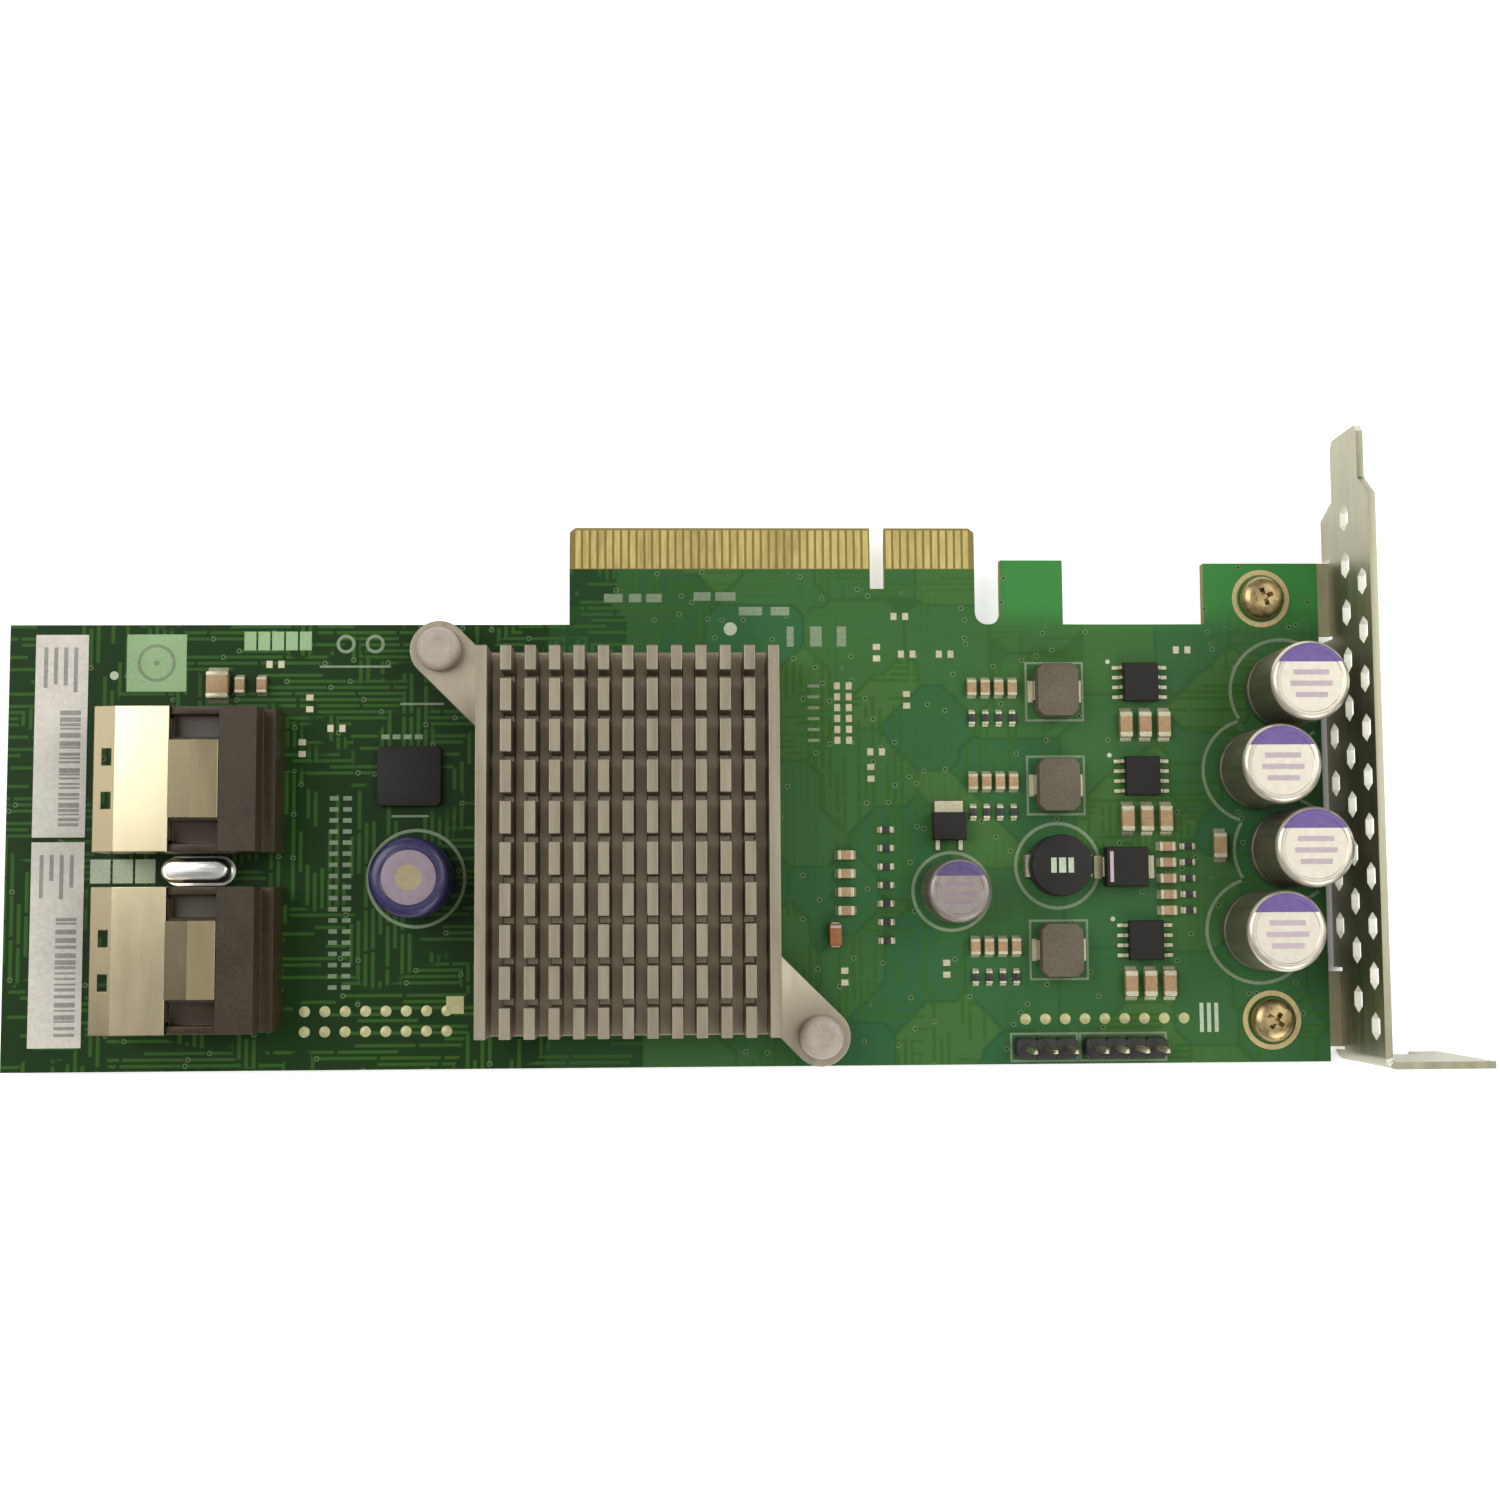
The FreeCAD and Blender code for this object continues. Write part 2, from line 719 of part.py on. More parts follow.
# Crystal: round-ended can between the ports
crystal = new_body()
sketch = sketch_on(crystal, "XY_Plane", board_z)
left = key_x - tail_run * dim.crystal_share - dim.crystal_length / 2
right = left + dim.crystal_length
low = tip_y - dim.port_drop - dim.port_pitch / 2 - dim.crystal_width / 2
high = low + dim.crystal_width
outline(sketch, [
    (left, low, dim.crystal_round),
    (right, low, dim.crystal_round),
    (right, high, dim.crystal_round),
    (left, high, dim.crystal_round),
])
feature(crystal, "Pad", sketch, dim.crystal_height)
node("crystal", crystal)

# Bracket: folded strip with tab, shouldered tongue, two ears under the board, slot and vents
bracket = new_body()
inner_x = end_x + dim.bracket_gap
outer_x = inner_x + dim.sheet
tab_end_x = outer_x + dim.tab_length
tab_face_y = tab_y + dim.sheet
reach_y = tip_y + dim.tongue_reach
shoulder_y = tip_y + dim.shoulder_reach
tongue_high = dim.bracket_width - dim.tongue_step
tongue_low = tongue_high - dim.tongue_width
outer_bend = dim.bend_radius + dim.sheet
sketch = sketch_on(bracket, "XY_Plane", 0)
outline(sketch, [
    (inner_x, reach_y),
    (inner_x, tab_y, outer_bend),
    (tab_end_x, tab_y),
    (tab_end_x, tab_face_y),
    (outer_x, tab_face_y, dim.bend_radius),
    (outer_x, reach_y),
])
feature(bracket, "Pad", sketch, dim.bracket_width)
sketch = sketch_on(bracket, "YZ_Plane", outer_x + OVER)
outline(sketch, [
    (shoulder_y, dim.bracket_width),
    (shoulder_y + dim.shoulder_rise, tongue_high),
    (reach_y - dim.tongue_chamfer, tongue_high),
    (reach_y, tongue_high - dim.tongue_chamfer),
    (reach_y + OVER, tongue_high - dim.tongue_chamfer),
    (reach_y + OVER, dim.bracket_width + OVER),
    (shoulder_y, dim.bracket_width + OVER),
])
outline(sketch, [
    (shoulder_y, 0),
    (shoulder_y + dim.low_shoulder_rise, tongue_low),
    (reach_y - dim.tongue_chamfer, tongue_low),
    (reach_y, tongue_low + dim.tongue_chamfer),
    (reach_y + OVER, tongue_low + dim.tongue_chamfer),
    (reach_y + OVER, -OVER),
    (shoulder_y, -OVER),
])
feature(bracket, "Pocket", sketch, dim.sheet + 2 * OVER)
ear_ys = [
    screw_ys[0] - dim.ear_width / 2 + dim.upper_ear_shift,
    screw_ys[1] - dim.ear_width / 2 + dim.lower_ear_shift,
]
sketch = sketch_on(bracket, "YZ_Plane", outer_x + OVER)
for y in ear_ys:
    relief_width = dim.ear_width + dim.ear_relief * 2
    rectangle(sketch, y - dim.ear_relief, -OVER, relief_width, dim.ear_notch + OVER)
feature(bracket, "Pocket", sketch, dim.sheet + 2 * OVER)
for y in ear_ys:
    sketch = sketch_on(bracket, "XZ_Plane", -(y + dim.ear_width))
    outline(sketch, [
        (inner_x - dim.ear_reach, under_z - dim.sheet),
        (outer_x, under_z - dim.sheet, outer_bend),
        (outer_x, dim.ear_notch + dim.bend_radius),
        (inner_x, dim.ear_notch + dim.bend_radius),
        (inner_x, under_z),
        (inner_x - dim.ear_reach, under_z),
    ])
    feature(bracket, "Pad", sketch, dim.ear_width)
sketch = sketch_on(bracket, "XY_Plane", under_z + OVER)
for y in screw_ys:
    circle(sketch, screw_x, y, dim.screw_size + dim.thread_clearance)
feature(bracket, "Pocket", sketch, dim.sheet + 2 * OVER)
sketch = sketch_on(bracket, "XZ_Plane", -(tab_y - OVER))
slot_left = outer_x + dim.tab_slot_x - dim.tab_slot_width / 2
outline(sketch, [
    (slot_left, -OVER),
    (slot_left + dim.tab_slot_width, -OVER),
    (slot_left + dim.tab_slot_width, dim.tab_slot_depth, dim.tab_slot_radius),
    (slot_left, dim.tab_slot_depth, dim.tab_slot_radius),
])
feature(bracket, "Pocket", sketch, dim.sheet + 2 * OVER)
mid_z = dim.bracket_width / 2
vent_y = tip_y + dim.vent_rise
lower_ear_y = ear_ys[1] + dim.ear_width + dim.ear_relief
columns = [
    (mid_z, vent_y, tab_face_y),
    (mid_z + dim.vent_pitch, vent_y - dim.vent_pitch * 1.5, tab_face_y),
    (mid_z - dim.vent_pitch, vent_y - dim.vent_pitch * 3.5, lower_ear_y),
]
for z, first_y, last_y in columns:
    sketch = sketch_on(bracket, "YZ_Plane", outer_x + OVER)
    hexagon(sketch, first_y, z, dim.vent_size)
    vent = feature(bracket, "Pocket", sketch, dim.sheet + 2 * OVER)
    run = first_y - last_y - dim.vent_margin
    repeat(bracket, vent, "Y_Axis", dim.vent_pitch, how_many(run, dim.vent_pitch), back=True)
node("bracket", bracket)

# Bracket screws: heads on the board, shanks through board and ear
screw_r = dim.screw_size / 2
head_r = dim.screw_head / 2
head_z = board_z + dim.screw_head_height
node("bracket_screws", group([revolve(screw_x, y, 0, [
    (0, under_z - dim.sheet),
    (screw_r, under_z - dim.sheet),
    (screw_r, board_z),
    (head_r, board_z),
    (head_r, head_z),
    (0, head_z),
]) for y in screw_ys]))


# Cans stand on the board
def can(label, x, y, size, height):
    node(label, revolve(x, y, board_z, [(0, 0), (size / 2, 0), (size / 2, height), (0, height)]))


for i in range(4):
    x = dim.can_near_x if i % 2 else dim.can_far_x
    y = tip_y - dim.can_drop - dim.can_pitch * i
    can("capacitor_%d" % (i + 1), key_x + x, y, dim.can_size, dim.can_height)
can("capacitor_small", key_x + dim.small_can_x, tip_y - dim.small_can_drop, dim.small_can_size,
    dim.small_can_height)
sleeved_x = sink_left - dim.sleeved_gap - dim.sleeved_size / 2
can("sleeved_capacitor", sleeved_x, tip_y - dim.sleeved_drop, dim.sleeved_size, dim.sleeved_height)


# Power stages: moulded inductor and eight-lead switch side by side
def chamfered(body, x, y, z, length, width, height, chamfer):
    """Pad a rectangle with chamfered corners."""
    sketch = sketch_on(body, "XY_Plane", z)
    left = x - length / 2
    right = x + length / 2
    low = y - width / 2
    high = y + width / 2
    outline(sketch, [
        (left + chamfer, low),
        (right - chamfer, low),
        (right, low + chamfer),
        (right, high - chamfer),
        (right - chamfer, high),
        (left + chamfer, high),
        (left, high - chamfer),
        (left, low + chamfer),
    ])
    return feature(body, "Pad", sketch, height)


stage_ys = [tip_y - drop for drop in (dim.stage_one_drop, dim.stage_two_drop, dim.stage_three_drop)]
for i, stage_y in enumerate(stage_ys, 1):
    body = new_body()
    x = key_x + dim.inductor_x
    y = stage_y - dim.inductor_shift
    moulding = dim.inductor_length - dim.terminal_thick * 2
    chamfered(body, x, y, board_z, moulding, dim.inductor_width, dim.inductor_height,
              dim.inductor_chamfer)
    sketch = sketch_on(body, "XY_Plane", board_z)
    rectangle(sketch, x - dim.inductor_length / 2, y - dim.terminal_width / 2, dim.inductor_length,
              dim.terminal_width)
    feature(body, "Pad", sketch, dim.terminal_height)
    node("inductor_%d" % i, body)

    body = new_body()
    x = key_x + dim.switch_x
    y = stage_y + dim.switch_shift
    sketch = sketch_on(body, "XY_Plane", board_z + dim.switch_lift)
    rectangle(sketch, x - dim.switch_length / 2, y - dim.switch_width / 2, dim.switch_length,
              dim.switch_width)
    feature(body, "Pad", sketch, dim.switch_height - dim.switch_lift)
    sketch = sketch_on(body, "XY_Plane", board_z)
    lead_y = y + dim.lead_pitch * 1.5 - dim.lead_width / 2
    span = dim.switch_length + dim.lead_reach * 2
    rectangle(sketch, x - span / 2, lead_y, span, dim.lead_width)
    lead = feature(body, "Pad", sketch, dim.switch_lift + dim.lead_thick)
    repeat(body, lead, "Y_Axis", dim.lead_pitch, 4, back=True)
    node("power_switch_%d" % i, body)

# Drum choke on a foot plate
choke_x = key_x + dim.choke_x
choke_y = tip_y - dim.choke_drop
drum = revolve(choke_x, choke_y, board_z, [
    (0, 0),
    (dim.choke_size / 2, 0),
    (dim.choke_size / 2, dim.choke_height),
    (0, dim.choke_height),
])
node("choke", join([
    drum,
    box(choke_x, choke_y, board_z, dim.choke_size + dim.choke_foot_reach * 2, dim.choke_foot_width,
        dim.choke_foot_height),
]))

# Rectifier block with end terminals, tabbed regulator, flat memory package, brown moulded part
x = key_x + dim.rectifier_x
y = tip_y - dim.rectifier_drop
node("rectifier", join([
    box(x, y, board_z + dim.switch_lift, dim.rectifier_length, dim.rectifier_width,
        dim.rectifier_height - dim.switch_lift),
    box(x, y, board_z, dim.rectifier_length + dim.terminal_thick * 2, dim.terminal_width,
        dim.terminal_height),
]))
x = key_x + dim.regulator_x
y = tip_y - dim.regulator_drop
high_y = y + dim.regulator_width / 2
lead_y = y - dim.regulator_width / 2 - dim.regulator_lead / 2
leads = [box(x + dim.regulator_length * side / 3, lead_y, board_z, dim.lead_foot, dim.regulator_lead,
             dim.lead_thick * 2) for side in (1, -1)]
node("regulator", join([
    box(x, y, board_z, dim.regulator_length, dim.regulator_width, dim.regulator_height),
    box(x, high_y + dim.regulator_tab / 2, board_z, dim.regulator_length - dim.lead_foot,
        dim.regulator_tab, dim.lead_thick * 2),
] + leads))
memory_x = sink_left - dim.memory_gap - dim.memory_length / 2
node("memory_chip", box(memory_x, tip_y - dim.memory_drop, board_z, dim.memory_length,
                        dim.memory_width, dim.memory_height))
node("tantalum", box(key_x + dim.tantalum_x, tip_y - dim.tantalum_drop, board_z, dim.tantalum_width,
                     dim.tantalum_length, dim.tantalum_height))


# Pin headers: blocks pierced by square pins
def header(label, centre, count):
    """Make the block and give back its pins."""
    y = low_y + dim.header_rise
    first_x = key_x + centre - dim.header_pitch * (count - 1) / 2
    body = new_body()
    sketch = sketch_on(body, "XY_Plane", board_z)
    rectangle(sketch, first_x - dim.header_pitch / 2, y - dim.header_depth / 2, dim.header_pitch * count,
              dim.header_depth)
    feature(body, "Pad", sketch, dim.header_height)
    sketch = sketch_on(body, "XY_Plane", board_z + dim.header_height + OVER)
    rectangle(sketch, first_x - dim.header_pin / 2, y - dim.header_pin / 2, dim.header_pin, dim.header_pin)
    hole = feature(body, "Pocket", sketch, dim.header_height + 2 * OVER)
    repeat(body, hole, "X_Axis", dim.header_pitch, count)
    node(label, body)
    return [box(first_x + dim.header_pitch * i, y, board_z, dim.header_pin, dim.header_pin,
                dim.header_pin_height) for i in range(count)]


header_pins = header("header_three", dim.header_three_x, 3)
header_pins += header("header_four", dim.header_four_x, 4)
node("header_pins", group(header_pins))


# Small two-ended parts, stood lengthwise down the board or across it
def chip(kind, x, y, across_board=False):
    length, width, height = kind
    if across_board:
        return box(key_x + x, y, board_z, length, width, height)
    return box(key_x + x, y, board_z, width, length, height)


wide_chip = (dim.chip_wide, dim.chip_wide_width, dim.chip_wide_height)
long_chip = (dim.chip_long, dim.chip_long_width, dim.chip_long_height)
mid_chip = (dim.chip_mid, dim.chip_mid_width, dim.chip_mid_height)
short_chip = (dim.chip_short, dim.chip_short_width, dim.chip_short_height)
chip_capacitors = [chip(long_chip, dim.bulk_x, tip_y - dim.bulk_drop)]
chip_resistors = []
for stage_y in stage_ys:
    for i in range(3):
        x = dim.output_x + dim.output_pitch * i
        chip_capacitors.append(chip(long_chip, x, stage_y - dim.output_shift))
    for i in range(4):
        x = dim.input_x + dim.input_pitch * i
        chip_capacitors.append(chip(mid_chip, x, stage_y - dim.input_shift))
        chip_resistors.append(chip(short_chip, x, stage_y - dim.sense_shift))
for i in range(5):
    y = tip_y - dim.filter_drop - dim.filter_pitch * i
    chip_capacitors.append(chip(mid_chip, dim.filter_x, y, across_board=True))
    chip_resistors.append(chip(short_chip, dim.filter_x + dim.filter_pitch_x, y, across_board=True))
for i in range(4):
    y = tip_y - dim.left_column_drop - dim.column_pitch * i
    chip_capacitors.append(chip(mid_chip, dim.left_column_x, y, across_board=True))
for i in range(7):
    y = tip_y - dim.right_column_drop - dim.column_pitch * i
    chip_resistors.append(chip(short_chip, dim.right_column_x, y, across_board=True))
for i, kind in enumerate((wide_chip, mid_chip, mid_chip)):
    x = -tail_run * dim.bypass_share + dim.bypass_pitch * i
    chip_capacitors.append(chip(kind, x, tip_y - dim.bypass_drop))
node("chip_capacitors", group(chip_capacitors))
node("chip_resistors", group(chip_resistors))

# Paper labels along the tail
for label, i in (("label_upper", 0), ("label_lower", 1)):
    y = tip_y - dim.label_drop - dim.label_length / 2 - (dim.label_length + dim.label_gap) * i
    x = key_x - tail_run * dim.label_share
    node(label, box(x, y, board_z, dim.label_width, dim.label_length, dim.label_thick))

# Check everything, then write one file for each piece
doc.recompute()
for thing in doc.Objects:
    if "Invalid" in thing.State or "Error" in thing.State:
        raise RuntimeError("%s (%s) failed" % (thing.Name, thing.Label))
    if thing.TypeId == "PartDesign::Pocket" and thing.Shape.Volume >= thing.BaseFeature.Shape.Volume:
        raise RuntimeError("%s cuts nothing" % thing.Name)
for thing in nodes:
    if thing.Shape.isNull() or not thing.Shape.isValid():
        raise RuntimeError("%s has no sound shape" % thing.Label)
os.makedirs("parts", exist_ok=True)
for thing in nodes:
    thing.Shape.exportStep("parts/%s.step" % thing.Label)
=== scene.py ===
import math
import random

import bmesh
import bpy
from mathutils import Matrix, Vector


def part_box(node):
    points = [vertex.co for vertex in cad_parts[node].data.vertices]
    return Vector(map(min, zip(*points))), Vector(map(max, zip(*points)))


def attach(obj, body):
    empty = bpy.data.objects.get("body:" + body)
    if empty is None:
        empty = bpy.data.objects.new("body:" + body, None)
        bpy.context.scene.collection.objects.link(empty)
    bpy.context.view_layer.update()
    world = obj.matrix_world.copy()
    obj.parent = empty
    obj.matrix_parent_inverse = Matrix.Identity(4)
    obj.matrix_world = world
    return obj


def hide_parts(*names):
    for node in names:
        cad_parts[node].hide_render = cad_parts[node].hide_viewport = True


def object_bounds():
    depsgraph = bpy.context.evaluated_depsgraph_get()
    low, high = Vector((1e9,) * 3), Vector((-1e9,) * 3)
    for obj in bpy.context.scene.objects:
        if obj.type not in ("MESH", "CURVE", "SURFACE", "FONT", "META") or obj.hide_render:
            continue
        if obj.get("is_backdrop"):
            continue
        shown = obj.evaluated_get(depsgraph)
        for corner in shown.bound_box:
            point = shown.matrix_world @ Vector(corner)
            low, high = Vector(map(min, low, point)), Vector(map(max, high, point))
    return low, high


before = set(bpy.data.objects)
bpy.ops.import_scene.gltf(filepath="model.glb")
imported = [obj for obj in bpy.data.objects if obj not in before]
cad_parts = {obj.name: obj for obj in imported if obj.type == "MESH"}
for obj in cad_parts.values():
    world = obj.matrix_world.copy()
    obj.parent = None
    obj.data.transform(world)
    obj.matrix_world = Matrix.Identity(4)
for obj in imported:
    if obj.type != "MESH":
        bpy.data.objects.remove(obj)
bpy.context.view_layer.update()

# Board: glass-epoxy laminate with etched copper under green solder mask, routed to its outline.
# Fine tracks cross the tail, broad pours fill the power end, and the contact tongue is bare of mask.
# Places on it are in millimetres from the middle of the key slot, at the contact edge.
MM = 0.001
BOARD_END_TO_KEY = 57.37
TONGUE_LEFT, TONGUE_RIGHT, BARE_TONGUE = -39.6, 12.6, 5.45
TRACK_PITCH, TRACK_RUN = 0.78, 8.0
UPRIGHT_PITCH, UPRIGHT_RUN = 0.92, 5.5
LANE_SHIFT, LAID_SHARE, DRILLED_SHARE = 13.7, 0.6, 0.3
TRACK_SIDE, TRACK_START = (0.32, 0.2), (0.35, 0.5)
HOLE_PLACE, RING_RIM, HOLE_RIM = 0.5, (0.38, 0.3), (0.17, 0.12)
POUR_SIZE, POUR_EDGE = 11.0, (0.05, 0.02)
POUR_FROM, POUR_TO = -46.0, -22.0
HOOK_RISE_X, HOOK_RISE_Y = (13.0, 17.0), (-14.0, -10.0)
MASK_DEEP, MASK_TRACK = (19, 48, 10), (50, 91, 30)
POUR_TEAL, POUR_GRASS = (38, 90, 54), (64, 102, 46)
HOOK_GREEN = (56, 126, 58)
LAMINATE, LAMINATE_DARK = (148, 132, 72), 0.7
VIA_TIN, VIA_HOLE_SHADE = (104, 128, 84), (12, 22, 14)
COPPER_STEP = 0.03


def corners(node):
    """A CAD node's lowest and highest corners in millimetres."""
    return [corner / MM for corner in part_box(node)]


board_low, board_high = corners("pcb")
key = Vector((board_high.x - BOARD_END_TO_KEY, board_high.y, board_high.z))


def ink(colour, shade=1.0):
    """A colour of 0 to 255 as the eye reads it, in the shader's linear light."""
    parts = [shade * value / 255 for value in colour]
    return tuple(p / 12.92 if p < 0.04045 else ((p + 0.055) / 1.055) ** 2.4 for p in parts) + (1.0,)


def put(tree, kind, sockets=None, **settings):
    """Add a node, set its options, then set or join its sockets."""
    node = tree.nodes.new(kind)
    for name, value in settings.items():
        setattr(node, name, value)
    for name, value in (sockets or {}).items():
        if isinstance(value, bpy.types.NodeSocket):
            tree.links.new(value, node.inputs[name])
        else:
            node.inputs[name].default_value = value
    return node


def work(tree, operation, *terms):
    """One sum on values that change over the surface."""
    return put(tree, "ShaderNodeMath", dict(enumerate(terms)), operation=operation).outputs[0]


def ramp(tree, value, low, high, start=0.0, end=1.0):
    """Carry a value from one range to another and hold it there."""
    sockets = {"Value": value, "From Min": low, "From Max": high, "To Min": start, "To Max": end}
    return put(tree, "ShaderNodeMapRange", sockets).outputs["Result"]


def tint(tree, mask, first, second):
    """Go from the first colour to the second along a mask."""
    return put(tree, "ShaderNodeMix", {0: mask, 6: first, 7: second}, data_type="RGBA").outputs[2]


def effect(name, inputs, outputs):
    """Start a shared shader effect with named sockets."""
    group = bpy.data.node_groups.new(name, "ShaderNodeTree")
    for label, kind, value in inputs:
        socket = group.interface.new_socket(label, in_out="INPUT", socket_type="NodeSocket" + kind)
        if value is not None:
            socket.default_value = value
    for label, kind in outputs:
        group.interface.new_socket(label, in_out="OUTPUT", socket_type="NodeSocket" + kind)
    start = group.nodes.new("NodeGroupInput").outputs
    end = group.nodes.new("NodeGroupOutput").inputs
    return group, start, end


def finish(name, **sockets):
    """A material with one shader; values that are the same all over stand on its own sockets."""
    material = bpy.data.materials.new(name)
    material.use_nodes = True
    shader = material.node_tree.nodes["Principled BSDF"].inputs
    by_name = {socket.name.lower().replace(" ", "_"): socket for socket in shader}
    for label, value in sockets.items():
        by_name[label].default_value = value
    return material, material.node_tree, shader


def dress(node, material):
    """Give a CAD node that stays in view its finish."""
    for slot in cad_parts[node].material_slots:
        slot.material = material


def track_effect():
    """Lanes of track cut into runs; some runs are laid, and some of those start at a drilled hole."""
    group, start, end = effect(
        "etched_tracks",
        [("Vector", "Vector", None), ("Pitch", "Float", TRACK_PITCH), ("Run", "Float", TRACK_RUN)],
        [("Track", "Float"), ("Ring", "Float"), ("Hole", "Float")])

    def do(operation, *terms):
        return work(group, operation, *terms)

    place = put(group, "ShaderNodeSeparateXYZ", {"Vector": start["Vector"]}).outputs
    across = do("DIVIDE", place["Y"], start["Pitch"])
    lane = do("FLOOR", across)
    shift = put(group, "ShaderNodeTexWhiteNoise", {"W": lane}, noise_dimensions="1D").outputs["Value"]
    along = do("ADD", do("DIVIDE", place["X"], start["Run"]), do("MULTIPLY", shift, LANE_SHIFT))
    cell = put(group, "ShaderNodeCombineXYZ", {"X": do("FLOOR", along), "Y": lane}).outputs[0]
    luck = put(group, "ShaderNodeTexWhiteNoise", {"Vector": cell}, noise_dimensions="2D").outputs["Color"]
    odds = put(group, "ShaderNodeSeparateColor", {"Color": luck}).outputs
    laid = do("LESS_THAN", odds[0], LAID_SHARE)
    drilled = do("MULTIPLY", laid, do("LESS_THAN", odds[1], DRILLED_SHARE))
    off = do("SUBTRACT", do("FRACT", across), 0.5)
    run = do("MULTIPLY", do("FRACT", along), start["Run"])
    line = do("MULTIPLY", ramp(group, do("ABSOLUTE", off), *TRACK_SIDE), ramp(group, run, *TRACK_START))
    lengthways = do("POWER", do("SUBTRACT", run, HOLE_PLACE), 2.0)
    sideways = do("POWER", do("MULTIPLY", off, start["Pitch"]), 2.0)
    reach = do("SQRT", do("ADD", lengthways, sideways))
    group.links.new(do("MULTIPLY", line, laid), end["Track"])
    group.links.new(do("MULTIPLY", ramp(group, reach, *RING_RIM), drilled), end["Ring"])
    group.links.new(do("MULTIPLY", ramp(group, reach, *HOLE_RIM), drilled), end["Hole"])
    return group


etched_tracks = track_effect()
solder_mask, tree, shader = finish("solder_mask", specular_ior_level=0.16)
metres = put(tree, "ShaderNodeTexCoord").outputs["Object"]
spot = put(tree, "ShaderNodeVectorMath", {0: metres, "Scale": 1 / MM}, operation="SCALE").outputs[0]
part = put(tree, "ShaderNodeSeparateXYZ", {"Vector": spot}).outputs
crossed = put(tree, "ShaderNodeCombineXYZ", {"X": part["Y"], "Y": part["X"]}).outputs[0]
level = put(tree, "ShaderNodeGroup", {"Vector": spot}, node_tree=etched_tracks).outputs
upright = put(tree, "ShaderNodeGroup", {"Vector": crossed, "Pitch": UPRIGHT_PITCH, "Run": UPRIGHT_RUN},
              node_tree=etched_tracks).outputs
drift = put(tree, "ShaderNodeTexNoise", {"Vector": spot, "Scale": 0.09, "Detail": 2.0}).outputs["Fac"]
turned = ramp(tree, drift, 0.49, 0.51)
nearest, second = (
    put(tree, "ShaderNodeTexVoronoi", {"Vector": spot, "Scale": 1 / POUR_SIZE, "Randomness": 0.85},
        voronoi_dimensions="2D", distance="CHEBYCHEV", feature=feature).outputs for feature in ("F1", "F2"))
pour_luck = put(tree, "ShaderNodeSeparateColor", {"Color": nearest["Color"]}).outputs
pour_place = put(tree, "ShaderNodeSeparateXYZ", {"Vector": nearest["Position"]}).outputs["X"]
pour_gap = ramp(tree, work(tree, "SUBTRACT", second["Distance"], nearest["Distance"]), *POUR_EDGE)


def either(name):
    """Level tracks in some fields of the board, upright tracks in the others."""
    sockets = {0: turned, 2: level[name], 3: upright[name]}
    return put(tree, "ShaderNodeMix", sockets, data_type="FLOAT").outputs[0]


track, ring, hole = (either(name) for name in ("Track", "Ring", "Hole"))
power_end = ramp(tree, pour_place, key.x + POUR_FROM, key.x + POUR_TO)
tail = tint(tree, work(tree, "MULTIPLY", track, 0.8), ink(MASK_DEEP), ink(MASK_TRACK))
pour = tint(tree, ramp(tree, pour_luck[0], 0.0, 1.0, 0.1, 0.9), ink(POUR_TEAL), ink(POUR_GRASS))
pour = tint(tree, work(tree, "MULTIPLY", pour_gap, 0.25), pour, ink(MASK_DEEP))
shown = work(tree, "MULTIPLY", track, ramp(tree, pour_luck[1], 0.2, 0.7, 0.25, 0.9))
pour = tint(tree, shown, pour, ink(MASK_TRACK))
colour = tint(tree, power_end, tail, pour)
by_hook = work(tree, "MULTIPLY", ramp(tree, part["X"], *(key.x + u for u in HOOK_RISE_X)),
               ramp(tree, part["Y"], *(key.y + v for v in HOOK_RISE_Y)))
colour = tint(tree, by_hook, colour, ink(HOOK_GREEN))
colour = tint(tree, work(tree, "MULTIPLY", ring, 0.6), colour, ink(VIA_TIN))
# The drilled holes are painted dark, a painted shade inside them.
colour = tint(tree, hole, colour, ink(VIA_HOLE_SHADE))
weave = put(tree, "ShaderNodeTexNoise", {"Vector": spot, "Scale": 5.0, "Detail": 4.0}).outputs["Fac"]
normal = put(tree, "ShaderNodeNewGeometry").outputs["True Normal"]
facing = put(tree, "ShaderNodeSeparateXYZ", {"Vector": normal}).outputs["Z"]
routed = work(tree, "LESS_THAN", work(tree, "ABSOLUTE", facing), 0.9)
past_mask = work(tree, "GREATER_THAN", part["Y"], key.y - BARE_TONGUE)
in_tongue = work(tree, "MULTIPLY", work(tree, "GREATER_THAN", part["X"], key.x + TONGUE_LEFT),
                 work(tree, "LESS_THAN", part["X"], key.x + TONGUE_RIGHT))
bare = work(tree, "MAXIMUM", routed, work(tree, "MULTIPLY", past_mask, in_tongue))
raw = tint(tree, weave, ink(LAMINATE, LAMINATE_DARK), ink(LAMINATE))
tree.links.new(tint(tree, bare, colour, raw), shader["Base Color"])
tree.links.new(ramp(tree, work(tree, "MAXIMUM", bare, weave), 0.3, 1.0, 0.42, 0.62), shader["Roughness"])
relief = work(tree, "SUBTRACT", track, work(tree, "MULTIPLY", hole, 2.0))
bump = put(tree, "ShaderNodeBump", {"Strength": 0.3, "Distance": COPPER_STEP * MM, "Height": relief})
tree.links.new(bump.outputs["Normal"], shader["Normal"])
dress("pcb", solder_mask)

